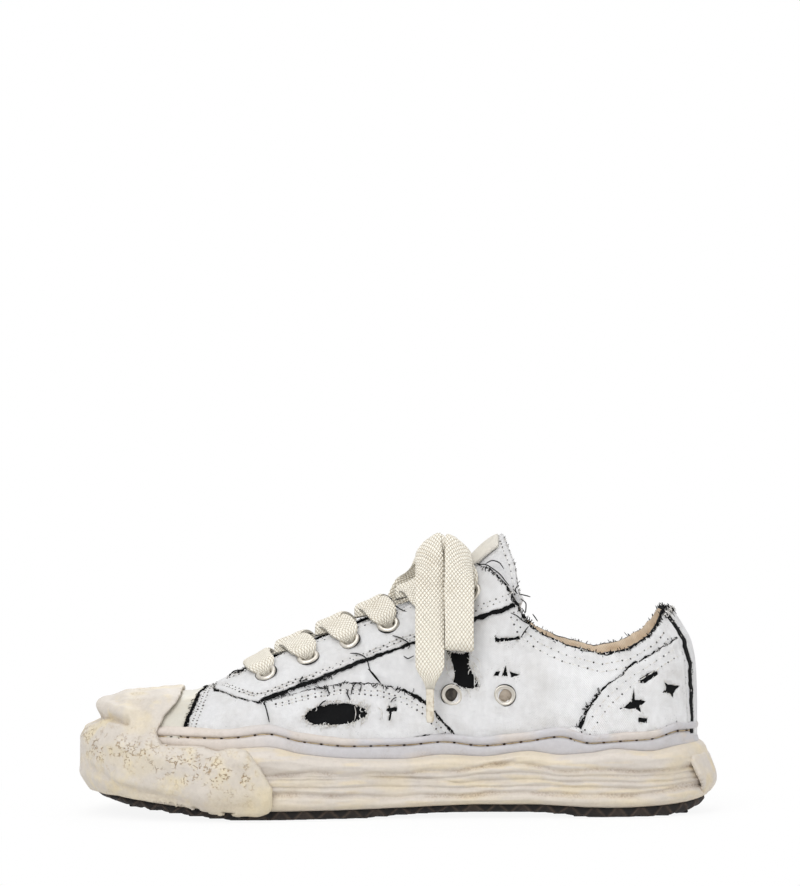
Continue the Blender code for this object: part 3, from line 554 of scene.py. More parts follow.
class Nodes:
    """The nodes of a material or of the world."""

    def __init__(self, tree: bpy.types.NodeTree) -> None:
        """Starts on a tree of nodes."""
        self.tree = tree

    def node(self, kind: str, settings: Mapping[str, object] | None = None,
             values: Mapping[str | int, object] | None = None) -> bpy.types.Node:
        """Adds a node.

        Args:
            kind: The node's type.
            settings: Its properties, which are set first. stops gives a ramp's places and colours.
            values: A value or a link for each named or numbered socket.

        Returns:
            The node.
        """
        made = self.tree.nodes.new(kind)
        for key, value in (settings or {}).items():
            if key == "stops":
                ramp = made.color_ramp.elements
                while len(ramp) < len(value):
                    ramp.new(0.5)
                for element, (position, colour) in zip(ramp, value):
                    element.position, element.color = position, (*colour, 1.0)
            else:
                setattr(made, key, value)
        for key, value in (values or {}).items():
            self.put(made.inputs[key], value)
        return made

    def put(self, socket: Socket, value: object) -> None:
        """Links or sets one input."""
        if isinstance(value, Wire):
            value = value.socket
        if isinstance(value, Socket):
            self.tree.links.new(value, socket)
        elif socket.type == "RGBA":
            socket.default_value = (*value, 1.0)
        else:
            socket.default_value = value

    def maths(self, operation: str, *parts: object) -> Wire:
        """A Math node on values or wires."""
        made = self.node("ShaderNodeMath", {"operation": operation}, dict(enumerate(parts)))
        return Wire(self, made.outputs[0])

    def seen(self) -> Wire:
        """1 for what the camera sees, directly, in a gloss or through glass, and 0 for other rays."""
        path = self.node("ShaderNodeLightPath").outputs
        seen = Wire(self, path["Is Camera Ray"])
        for ray in ("Is Glossy Ray", "Is Transmission Ray"):
            seen = self.maths("MAXIMUM", seen, path[ray])
        return seen


class Finish(Nodes):
    """A material under construction, with one method for every kind of node."""

    def __init__(self, name: str) -> None:
        """Starts the material with its shader and output."""
        self.material = bpy.data.materials.new(name)
        self.material.use_nodes = True
        super().__init__(self.material.node_tree)
        self.shader = self.tree.nodes["Principled BSDF"]
        self.place = self.node("ShaderNodeTexCoord").outputs["Object"]

    def vectors(self, operation: str, *parts: object) -> Socket:
        """A Vector Math node."""
        made = self.node("ShaderNodeVectorMath", {"operation": operation}, dict(enumerate(parts)))
        return made.outputs[0]

    def noise(self, size: float, detail: float = 2.0, place: object = None, rough: float = 0.5,
              stretch: Sequence[float] | None = None) -> Wire:
        """Soft noise from 0 to 1, with lumps of about size metres.

        Args:
            size: The width of a lump.
            detail: How many finer layers are added.
            place: Where it is read, or None for the piece's own places.
            rough: How strong the finer layers are.
            stretch: What the place is multiplied by.

        Returns:
            The noise.
        """
        place = place or self.place
        if stretch:
            place = self.vectors("MULTIPLY", place, tuple(stretch))
        values = {"Vector": place, "Scale": 1 / size, "Detail": detail, "Roughness": rough}
        return Wire(self, self.node("ShaderNodeTexNoise", None, values).outputs[0])

    def cells(self, size: float, feature: str = "F1", place: object = None) -> Wire:
        """Distance to scattered points about size metres apart, in cells."""
        values = {"Vector": place or self.place, "Scale": 1 / size}
        made = self.node("ShaderNodeTexVoronoi", {"feature": feature}, values)
        return Wire(self, made.outputs["Distance"])

    def step(self, value: Wire, low: float, high: float) -> Wire:
        """A soft step from 0 at low to 1 at high."""
        settings = {"interpolation_type": "SMOOTHSTEP"}
        values = {"Value": value, "From Min": low, "From Max": high}
        return Wire(self, self.node("ShaderNodeMapRange", settings, values).outputs["Result"])

    def blend(self, share: object, first: object, second: object, how: str = "MIX") -> Socket:
        """One colour into another.

        Args:
            share: How much of the second colour there is.
            first: The first colour.
            second: The second colour.
            how: The way of blending.

        Returns:
            The blended colour.
        """
        made = self.node("ShaderNodeMix", {"data_type": "RGBA", "blend_type": how})
        self.put(made.inputs["Factor"], share)
        self.put(made.inputs[6], first)
        self.put(made.inputs[7], second)
        return made.outputs[2]

    def grey(self, value: Wire) -> Socket:
        """A grey of a value's brightness."""
        return self.node("ShaderNodeCombineXYZ", None, {0: value, 1: value, 2: value}).outputs[0]

    def shaded(self, colour: object, shade: Wire) -> Socket:
        """A colour, darkened to a share of its brightness."""
        return self.blend(1.0, colour, self.grey(shade), "MULTIPLY")

    def axis(self, which: int, place: object = None) -> Wire:
        """One coordinate of a place."""
        made = self.node("ShaderNodeSeparateXYZ", None, {0: place or self.place})
        return Wire(self, made.outputs[which])

    def flat(self) -> tuple[Wire, Wire]:
        """The two coordinates of the piece's own flat map, in metres."""
        place = self.node("ShaderNodeUVMap", {"uv_map": "flat"}).outputs[0]
        return self.axis(0, place), self.axis(1, place)

    def mask(self, name: str) -> Wire:
        """A painted value of the piece, from 0 to 1."""
        return Wire(self, self.node("ShaderNodeAttribute", {"attribute_name": name}).outputs["Fac"])

    def bump(self, height: Wire, distance: float, strength: float = 1.0, under: object = None) -> object:
        """A Bump node whose height of 1 stands distance metres high.

        Args:
            height: The height, from 0 to 1.
            distance: What 1 stands for, in metres.
            strength: How much of the bump is used.
            under: A bump that this one lies on.

        Returns:
            The bent normal.
        """
        values = {"Height": height, "Distance": distance, "Strength": strength}
        if under is not None:
            values["Normal"] = under
        return self.node("ShaderNodeBump", None, values).outputs[0]

    def done(self, colour: object, roughness: object, normal: object = None, **plain: object) -> Material:
        """Joins what was made to the shader.

        Args:
            colour: The base colour or its link.
            roughness: The roughness or its link.
            normal: The last Bump node's output.
            **plain: Values for the shader's other sockets, with _ for a space.

        Returns:
            The material.
        """
        self.put(self.shader.inputs["Base Color"], colour)
        self.put(self.shader.inputs["Roughness"], roughness)
        if normal is not None:
            self.put(self.shader.inputs["Normal"], normal)
        for key, value in plain.items():
            self.put(self.shader.inputs[key.replace("_", " ")], value)
        return self.material


# ---------------------------------------------------------------- finishes
@dataclass(frozen=True)
class Canvas:
    """Woven cotton with slubs, grime, greyed edges and painted shade in the weave's hollows."""

    name: str
    colour: Colour
    grime: Colour
    pitch: float = 0.62 * MM
    dirt: float = 0.55
    fuzz: float = 1.0
    sheen: float = 0.12
    specks: float = 1.0

    def made(self) -> Material:
        """Makes the material."""
        finish = Finish(self.name)
        u, v = finish.flat()
        turn = 2 * math.pi / self.pitch
        slub = finish.noise(2.6 * MM, 3.0, stretch=(1.0, 1.0, 0.45))
        wobble = finish.noise(9 * MM, 2.0) * 2.5
        warp = finish.maths("SINE", u * turn + wobble)
        weft = finish.maths("SINE", v * turn + wobble)
        weave = warp * weft
        soft = finish.noise(38 * MM, 4.0, rough=0.62)
        spots = finish.noise(7 * MM, 5.0, rough=0.7)
        edge = finish.mask("edge")
        darkening = finish.step(soft, 0.46, 0.74) * 0.55 + finish.step(spots, 0.60, 0.85) * 0.30
        darkening = darkening + edge * finish.step(spots, 0.30, 0.75) * 0.45
        colour = finish.blend(darkening * self.dirt, self.colour, self.grime)
        if self.specks:
            speck = finish.step(finish.noise(0.75 * MM, 3.0, rough=0.75), 0.60, 0.70)
            where = finish.mask("edge") * finish.step(finish.noise(4 * MM, 3.0), 0.46, 0.64)
            where = finish.maths("MAXIMUM", where, finish.step(finish.noise(24 * MM, 3.0), 0.70, 0.85) * 0.5)
            colour = finish.blend(speck * where * 0.72 * self.specks, colour, tint(66, 66, 70))
        # The weave's hollows and the thin parts of the slubs are darker: painted shade in the weave, with the
        # slubs' own tone.
        colour = finish.shaded(colour, finish.step(weave * 0.5 + slub, 0.05, 0.95) * 0.16 + 0.84)
        rumple = finish.noise(6.5 * MM, 3.0, rough=0.55, stretch=(1.0, 1.0, 1.8))
        lumps = finish.bump(soft, 1.6 * MM, 0.6)
        lumps = finish.bump(rumple, 1.5 * MM, 0.5 * self.fuzz, lumps)
        slubs = finish.bump(slub, 0.5 * MM, 0.7 * self.fuzz, lumps)
        normal = finish.bump(weave, 0.11 * MM, 0.8, slubs)
        return finish.done(colour, slub * 0.12 + 0.82, normal, Sheen_Weight=self.sheen, Sheen_Roughness=0.6,
                           Specular_IOR_Level=0.25)


@dataclass(frozen=True)
class Rubber:
    """Moulded rubber with patches of another colour, grime in its grain, painted shade in the folds and
    grooves that a piece marks as grime, and small pits.
    """

    name: str
    colour: Colour
    patch: Colour
    grime: Colour
    roughness: float = 0.5
    patches: tuple[float, float, float] = (24 * MM, 0.50, 0.66)
    streaks: Sequence[float] = (0.35, 1.0, 1.6)
    pits: float = 0.0
    grain: float = 0.05 * MM
    coat: float = 0.0
    mottle: float = 0.04

    def made(self) -> Material:
        """Makes the material."""
        finish = Finish(self.name)
        size, low, high = self.patches
        large = finish.noise(size, 4.0, rough=0.6, stretch=self.streaks)
        small = finish.noise(3.2 * MM, 4.0, rough=0.65)
        fine = finish.noise(0.55 * MM, 3.0, rough=0.6)
        colour = finish.blend(finish.step(large, low, high), self.colour, self.patch)
        colour = finish.blend(finish.mask("stain"), colour, self.patch)
        speck = finish.step(finish.noise(1.1 * MM, 3.0, rough=0.7), 0.42, 0.66) * 0.75 + 0.15
        # The grime mask is real grime, and on the midsole, foxing and bumper it is also painted shade in
        # grooves and folds.
        darkening = finish.step(small, 0.56, 0.80) * 0.16 + finish.mask("grime") * speck
        colour = finish.blend(darkening, colour, self.grime)
        cloud = finish.step(finish.noise(2.6 * MM, 6.0, rough=0.72), 0.30, 0.70)
        colour = finish.shaded(colour, cloud * (2 * self.mottle) + (1 - 1.3 * self.mottle))
        height = fine * 0.5 + small
        normal = finish.bump(height, self.grain * 4, 0.6)
        if self.pits:
            where = finish.step(finish.noise(6 * MM, 3.0), 0.45, 0.56) * finish.mask("pits")
            bent = finish.vectors("ADD", self.twist(finish), finish.place)
            pit = 1 - finish.step(finish.cells(1.5 * MM, place=bent), 0.16, 0.34)
            crack = 1 - finish.step(finish.cells(2.6 * MM, "DISTANCE_TO_EDGE", bent), 0.02, 0.09)
            crack = crack * finish.step(finish.noise(3.0 * MM, 3.0), 0.50, 0.60)
            pit = finish.maths("MAXIMUM", pit, crack * 0.9) * where * self.pits
            halo = finish.step(finish.noise(1.8 * MM, 4.0, rough=0.7), 0.48, 0.62) * where * 0.45
            colour = finish.blend(halo, colour, self.patch)
            colour = finish.blend(pit * 0.85, colour, self.grime)
            normal = finish.bump(1 - pit, 0.5 * MM, 0.9, normal)
        rough = fine * 0.16 + (self.roughness - 0.08)
        return finish.done(colour, rough, normal, Coat_Weight=self.coat, Coat_Roughness=0.25,
                           Specular_IOR_Level=0.45)

    def twist(self, finish: Finish) -> Socket:
        """A small wandering shift of the place, which keeps pits from being round."""
        shift = finish.node("ShaderNodeTexNoise", None, {"Vector": finish.place, "Scale": 1 / (1.6 * MM)})
        moved = finish.vectors("SUBTRACT", shift.outputs["Color"], (0.5, 0.5, 0.5))
        return finish.vectors("MULTIPLY", moved, (1.6 * MM, 1.6 * MM, 1.6 * MM))


@dataclass(frozen=True)
class Braid:
    """A flat braided cord, woven in slanting cells, with painted shade in the gaps between them."""

    name: str
    colour: Colour
    shadow: Colour
    cell: float = 1.75 * MM

    def made(self) -> Material:
        """Makes the material."""
        finish = Finish(self.name)
        u, v = finish.flat()
        turn = math.pi / self.cell
        drift = finish.noise(14 * MM, 2.0) * 0.9
        rising = finish.maths("SINE", (u * 0.72 + v) * turn + drift)
        falling = finish.maths("SINE", (u * 0.72 - v) * turn + drift)
        cells = rising * falling
        strands = finish.maths("SINE", (u * 0.5 + v * 0.1) * (turn * 5.0))
        fuzz = finish.noise(0.8 * MM, 4.0, rough=0.7)
        round_cell = finish.maths("ABSOLUTE", cells)
        height = round_cell ** 0.6 + strands * 0.10 + fuzz * 0.25
        # The gaps between the cells take the shadow colour: painted shade in the braid, with a little uneven
        # tone.
        gap = 1 - finish.step(round_cell + fuzz * 0.2, 0.06, 0.50)
        tone = finish.noise(17 * MM, 4.0, rough=0.6)
        darkening = gap * 0.62 + finish.step(tone, 0.52, 0.75) * 0.15
        colour = finish.blend(darkening, self.colour, self.shadow)
        normal = finish.bump(height, 0.55 * MM, 1.0)
        return finish.done(colour, fuzz * 0.1 + 0.82, normal, Sheen_Weight=0.1, Sheen_Roughness=0.5)


@dataclass(frozen=True)
class Yarn:
    """A plain spun thread."""

    name: str
    colour: Colour
    other: Colour
    roughness: float = 0.85

    def made(self) -> Material:
        """Makes the material."""
        finish = Finish(self.name)
        tone = finish.noise(2.0 * MM, 3.0)
        colour = finish.blend(finish.step(tone, 0.40, 0.68), self.colour, self.other)
        return finish.done(colour, tone * 0.1 + self.roughness, finish.bump(tone, 0.1 * MM, 0.5),
                           Specular_IOR_Level=0.2)


@dataclass(frozen=True)
class Metal:
    """Dull nickel plate with wear and a little rust."""

    name: str
    colour: Colour
    rust: Colour

    def made(self) -> Material:
        """Makes the material."""
        finish = Finish(self.name)
        wear = finish.noise(1.8 * MM, 4.0, rough=0.65)
        rust = finish.step(wear, 0.60, 0.78) * 0.7
        colour = finish.blend(rust, self.colour, self.rust)
        normal = finish.bump(wear, 0.10 * MM, 0.7)
        return finish.done(colour, wear * 0.30 + 0.22, normal, Metallic=0.9 - rust * 0.6)


@dataclass(frozen=True)
class Floor:
    """A plain pale floor that the camera sees as white, with the shoe's shadow on it."""

    name: str

    def made(self) -> Material:
        """Makes the material."""
        finish = Finish(self.name)
        made = finish.done(finish.grey(finish.noise(0.4, 3.0) * 0.01 + 0.86), 0.9)
        reach = finish.vectors("MULTIPLY", finish.place, (1.0, 2.0, 0.0))
        away = finish.node("ShaderNodeVectorMath", {"operation": "LENGTH"}, {0: reach}).outputs["Value"]
        bright = finish.node("ShaderNodeEmission", None, {"Color": (1.0, 1.0, 1.0)}).outputs[0]
        share = finish.seen() * (finish.step(Wire(finish, away), 0.14, 0.30) * 0.10 + 0.90)
        mix = finish.node("ShaderNodeMixShader", None, {0: share, 1: finish.shader.outputs[0], 2: bright})
        finish.put(finish.tree.nodes["Material Output"].inputs["Surface"], mix.outputs[0])
        return made


# ---------------------------------------------------------------- meshes
def linked(name: str, data: bpy.types.ID) -> Piece:
    """A new object of the scene, at the origin."""
    made = bpy.data.objects.new(name, data)
    bpy.context.scene.collection.objects.link(made)
    return made


def paint(mesh: bpy.types.Mesh, masks: Mapping[str, Array]) -> None:
    """Gives the points of a mesh painted values."""
    for key, values in masks.items():
        mesh.attributes.new(key, "FLOAT", "POINT").data.foreach_set("value", np.asarray(values, float))


def build(name: str, points: Array, faces: Sequence[Array], finishes: Sequence[Material],
          flat: Array | None = None, masks: Mapping[str, Array] | None = None) -> Piece:
    """A smooth mesh object at the origin.

    Args:
        name: The piece's name.
        points: Its points, in the frame.
        faces: Arrays of corner numbers, one array for each number of corners.
        finishes: Its materials.
        flat: Flat map places of the points, in metres.
        masks: Painted values of the points.

    Returns:
        The object, linked to the scene.
    """
    mesh = bpy.data.meshes.new(name)
    polygons = [face for rows in faces for face in np.asarray(rows).tolist()]
    mesh.from_pydata(np.asarray(points).tolist(), [], polygons)
    corners = np.zeros(len(mesh.loops), int)
    mesh.loops.foreach_get("vertex_index", corners)
    if flat is not None:
        mesh.uv_layers.new(name="flat").data.foreach_set("uv", flat[corners].astype(float).ravel())
    paint(mesh, masks or {})
    for finish in finishes:
        mesh.materials.append(finish)
    mesh.polygons.foreach_set("use_smooth", [True] * len(mesh.polygons))
    mesh.update()
    return linked(name, mesh)


def pick(piece: Piece) -> None:
    """Makes a piece the only one that the next operators act on."""
    bpy.ops.object.select_all(action="DESELECT")
    piece.select_set(True)
    bpy.context.view_layer.objects.active = piece


def apply(piece: Piece, kind: str, **settings: object) -> None:
    """Adds a modifier with its settings and applies it.

    Args:
        piece: The piece.
        kind: The modifier's type.
        settings: Its properties.
    """
    pick(piece)
    modifier = piece.modifiers.new(kind.lower(), kind)
    for key, value in settings.items():
        setattr(modifier, key, value)
    bpy.ops.object.modifier_apply(modifier=modifier.name)


def mend(piece: Piece, gap: float = 0.0, outwards: bool = False) -> None:
    """Merges a piece's points that are closer than gap, and turns its faces outwards.

    Args:
        piece: The piece.
        gap: The distance, or 0 to merge none.
        outwards: Whether the faces are turned.
    """
    pick(piece)
    bpy.ops.object.mode_set(mode="EDIT")
    bpy.ops.mesh.select_all(action="SELECT")
    if gap:
        bpy.ops.mesh.remove_doubles(threshold=gap)
    if outwards:
        bpy.ops.mesh.normals_make_consistent(inside=False)
    bpy.ops.object.mode_set(mode="OBJECT")


def joined(pieces: Sequence[Piece]) -> Piece:
    """Several pieces as one, under the first one's name.

    Args:
        pieces: The pieces, which are used up.

    Returns:
        The one piece.
    """
    pick(pieces[0])
    for piece in pieces:
        piece.select_set(True)
    bpy.ops.object.join()
    return pieces[0]


def coordinates(piece: Piece) -> Array:
    """The points of a piece's mesh."""
    points = np.zeros(3 * len(piece.data.vertices))
    piece.data.vertices.foreach_get("co", points)
    return points.reshape(-1, 3)


def normals(piece: Piece) -> Array:
    """The point normals of a piece's mesh."""
    found = np.zeros(3 * len(piece.data.vertices))
    piece.data.vertex_normals.foreach_get("vector", found)
    return found.reshape(-1, 3)


def place(piece: Piece, points: Array) -> None:
    """Moves the points of a piece's mesh."""
    piece.data.vertices.foreach_set("co", points.ravel())
    piece.data.update()


def lattice(rows: int, columns: int, closed: bool) -> Array:
    """The four-cornered faces between rows of points."""
    first, here = np.meshgrid(np.arange(rows - 1) * columns, np.arange(columns - (not closed)), indexing="ij")
    ahead, above = (here + 1) % columns, first + columns
    return np.stack([first + here, first + ahead, above + ahead, above + here], axis=-1).reshape(-1, 4)


@dataclass
class Strands:
    """Many thin round strands that are joined into one mesh."""

    name: str
    finish: Material
    sides: int = 4
    parts: list[tuple[Array, Array]] = field(default_factory=list)

    def add(self, lines: Array, radius: Array | float, taper: float = 0.6) -> None:
        """Adds strands.

        Args:
            lines: Their points, as strands by points by three.
            radius: One radius for all, or one for each strand.
            taper: How thin the ends are, as a share of the radius.
        """
        lines = np.asarray(lines, float)
        lines = lines[None] if lines.ndim == 2 else lines
        along = np.linspace(-1, 1, lines.shape[1])
        shape = 1 - (1 - taper) * np.abs(along) ** 4
        self.parts.append((lines, np.broadcast_to(radius, len(lines))[:, None] * shape))

    def made(self) -> Piece:
        """Makes the mesh of all the strands.

        Returns:
            The piece.
        """
        points, faces, ends, start = [], [], [], 0
        turn = np.arange(self.sides) * 2 * math.pi / self.sides
        for lines, radius in self.parts:
            count, length, _ = lines.shape
            tangent = unit(np.gradient(lines, axis=1))
            least = np.argmin(np.abs(unit(lines[:, -1] - lines[:, 0] + 1e-9)), axis=1)
            across = unit(np.cross(tangent, np.eye(3)[least][:, None]))
            up = np.cross(across, tangent)
            around = (np.cos(turn)[:, None] * across[:, :, None] + np.sin(turn)[:, None] * up[:, :, None])
            rings = lines[:, :, None] + around * radius[:, :, None, None]
            points.append(rings.reshape(-1, 3))
            first = start + np.arange(count)[:, None] * length * self.sides
            tubes = first[:, :, None] + lattice(length, self.sides, True)[None, :, ::-1]
            faces.append(tubes.reshape(-1, 4))
            cap = np.arange(self.sides)
            ends.append(first + cap[None])
            ends.append(first + (length - 1) * self.sides + cap[::-1][None])
            start += rings.size // 3
        polygons = [np.concatenate(faces), np.concatenate(ends)]
        return build(self.name, np.concatenate(points), polygons, [self.finish])


class Creases:
    """Soft troughs and ridges that every layer of the upper follows."""

    def __init__(self, rows: Sequence[tuple[float, Sequence[tuple[float, float]], float, float]]) -> None:
        """Places the creases.

        Args:
            rows: For each crease its side, its (x, z) corners, its half width and its depth, which is less
                than 0 for a ridge, all in millimetres.
        """
        self.lines = []
        self.seams = []
        for side, corners, width, depth in rows:
            line = resample(np.array(corners, float) * MM, 3 * len(corners))
            self.lines.append((LAST.seen(*line.T, side), width * MM, depth * MM))

    def pucker(self, line: Array, width: float = 1.6 * MM, depth: float = 0.42 * MM) -> None:
        """Draws the cloth in along a seam, more at one place than at another."""
        self.seams.append((line[:: max(1, len(line) // 60)], width, depth))

    def at(self, flat: Array) -> Array:
        """How far the cloth stands out at flat places.

        Args:
            flat: The places.

        Returns:
            The distance at each place, in metres.
        """
        total = HEAVE.at(flat, 30) * 0.7 * MM + HEAVE.at(flat, 9, 2, 3.0) * 0.30 * MM
        for line, width, depth in self.lines:
            rows, nearest, along = self.near(flat, line, 4 * width)
            shape = hump(nearest, width) - 0.35 * hump(nearest - 2.1 * width, width)
            total[rows] -= depth * shape * np.sin(math.pi * np.clip(along, 0.03, 0.97)) ** 0.6
        for line, width, depth in self.seams:
            rows, nearest, _ = self.near(flat, line, 5 * width)
            uneven = 0.75 + 0.9 * HEAVE.at(flat[rows], 5, 2, 11)
            gather = HEAVE.at(flat[rows], 3.2, 1, 17) * hump(nearest, 3 * width)
            total[rows] -= depth * (hump(nearest, width) * uneven + 0.6 * gather)
        return total

    def near(self, flat: Array, line: Array, reach: float) -> tuple[Array, Array, Array]:
        """The numbers of the flat places within reach of a line, their distances and their shares of its way.

        Args:
            flat: The places.
            line: The line.
            reach: How far off the line places still count.

        Returns:
            The numbers, the distances in metres, and the shares from 0 to 1.
        """
        low, high = line.min(axis=0) - reach, line.max(axis=0) + reach
        rows = np.flatnonzero(((flat > low) & (flat < high)).all(axis=1))
        return rows, *apart(flat[rows], line)


ROUND = 28  # points of a round hole, by which it is told from a torn one


@dataclass
class Cloth:
    """A piece of cloth, cut to a ragged outline and laid on the last."""

    name: str
    outline: Array
    top: float
    depth: float
    finishes: Sequence[Material]
    holes: Sequence[Array] = ()
    ragged: float = 0.4 * MM
    step: float = 1.0 * MM
    creases: Creases | None = None
    lift: Callable[[Array], Array] | None = None
    inner: int = 0

    def fray(self, loop: Array, seed: float, ragged: float | None = None) -> Array:
        """A closed loop with its edge worn unevenly.

        Args:
            loop: The corners.
            seed: Which part of the wear is read.
            ragged: How far the edge moves, or None for the cloth's own.

        Returns:
            The worn loop.
        """
        loop = dense(loop, 0.55 * MM, closed=True)
        ahead = unit(np.roll(loop, -1, axis=0) - np.roll(loop, 1, axis=0))
        out = np.stack([ahead[:, 1], -ahead[:, 0]], axis=-1)
        wear = HEAVE.at(loop + seed, 2.2, 3) + 0.5 * HEAVE.at(loop + seed, 12, 1)
        wear = np.where(loop[:, 0] > LAST.ways[-1] - 1e-5, 0.0, wear)
        return loop + out * (wear * (ragged or self.ragged))[:, None]

    def cut(self) -> tuple[Array, Array, Array]:
        """Cuts the cloth out and divides it into small triangles.

        Returns:
            The flat places of its points, its triangles, and the points' distances from the nearest edge.
        """
        outline = self.fray(self.outline, 1.0)
        holes = [self.fray(hole, 2.0 + k, (0.04 if len(hole) == ROUND else 0.26) * MM)
                 for k, hole in enumerate(self.holes)]
        low, high = outline.min(axis=0), outline.max(axis=0)
        rows = np.arange(low[1], high[1], self.step * 0.866)
        columns = np.arange(low[0], high[0], self.step)
        grid = np.stack(np.meshgrid(columns, rows), axis=-1)
        grid[1::2, :, 0] += self.step / 2
        grid = grid.reshape(-1, 2)
        grid = grid[self.kept(grid, outline, holes)]
        rim = np.concatenate([outline, *holes])
        tree = KDTree(len(rim))
        for number, spot in enumerate(rim):
            tree.insert((*spot, 0.0), number)
        tree.balance()
        gaps = np.array([tree.find((*spot, 0.0))[2] for spot in grid])
        grid = grid[gaps > 0.45 * self.step]
        edges, start = [], 0
        for loop in (outline, *holes):
            edges += [(start + i, start + (i + 1) % len(loop)) for i in range(len(loop))]
            start += len(loop)
        spots = np.concatenate([rim, grid])
        found, _, triangles, *_ = delaunay_2d_cdt([Vector(v) for v in spots], edges, [], 0, 1e-7, False)
        found, triangles = np.array([tuple(v) for v in found]), np.array(triangles)
        triangles = triangles[self.kept(found[triangles].mean(axis=1), outline, holes)]
        used = np.unique(triangles)
        number = np.zeros(len(found), int)
        number[used] = np.arange(len(used))
        found, triangles = found[used], number[triangles]
        gaps = np.array([tree.find((*spot, 0.0))[2] for spot in found])
        return found, triangles, gaps

    def kept(self, spots: Array, outline: Array, holes: Sequence[Array]) -> Array:
        """Whether each spot is inside the outline and in none of the holes."""
        keep = inside(spots, outline)
        for hole in holes:
            keep &= ~inside(spots, hole)
        return keep

    def made(self) -> Piece:
        """Makes the piece.

        Returns:
            The piece.
        """
        flat, triangles, gaps = self.cut()
        s, t = LAST.roll(flat)
        height = np.full(len(flat), self.top)
        if self.creases:
            height = height + self.creases.at(flat)
        if self.lift:
            height = height + self.lift(flat)
        points, _ = LAST.points(s, t, height)
        edge = 1 - ease(gaps, 1.5 * MM, 7 * MM)
        piece = build(self.name, points, [triangles], self.finishes, flat, {"edge": edge})
        mend(piece, 1e-5)
        apply(piece, "SOLIDIFY", thickness=self.depth, offset=-1.0, material_offset=self.inner,
              material_offset_rim=0)
        return piece


def hold(pieces: Iterable[Piece], nodes: Sequence[str] = ()) -> None:
    """Lets pieces ride on the shoe and stand for its nodes.

    Args:
        pieces: The pieces. The first one stands for the nodes.
        nodes: The frame's nodes that are hidden.
    """
    for number, piece in enumerate(pieces):
        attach(piece, "root")
        if nodes and number == 0:
            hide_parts(*nodes)
        log.info("%s: %d faces", piece.name, len(piece.data.polygons))


# ---------------------------------------------------------------- sole
def halves(values: Array) -> Array:
    """Values of a whole ring as those of its two sides, both from toe to heel."""
    count = len(values) // 2 + 1
    return np.stack([values[:count], np.concatenate([values[:1], values[count - 1:][::-1]])])


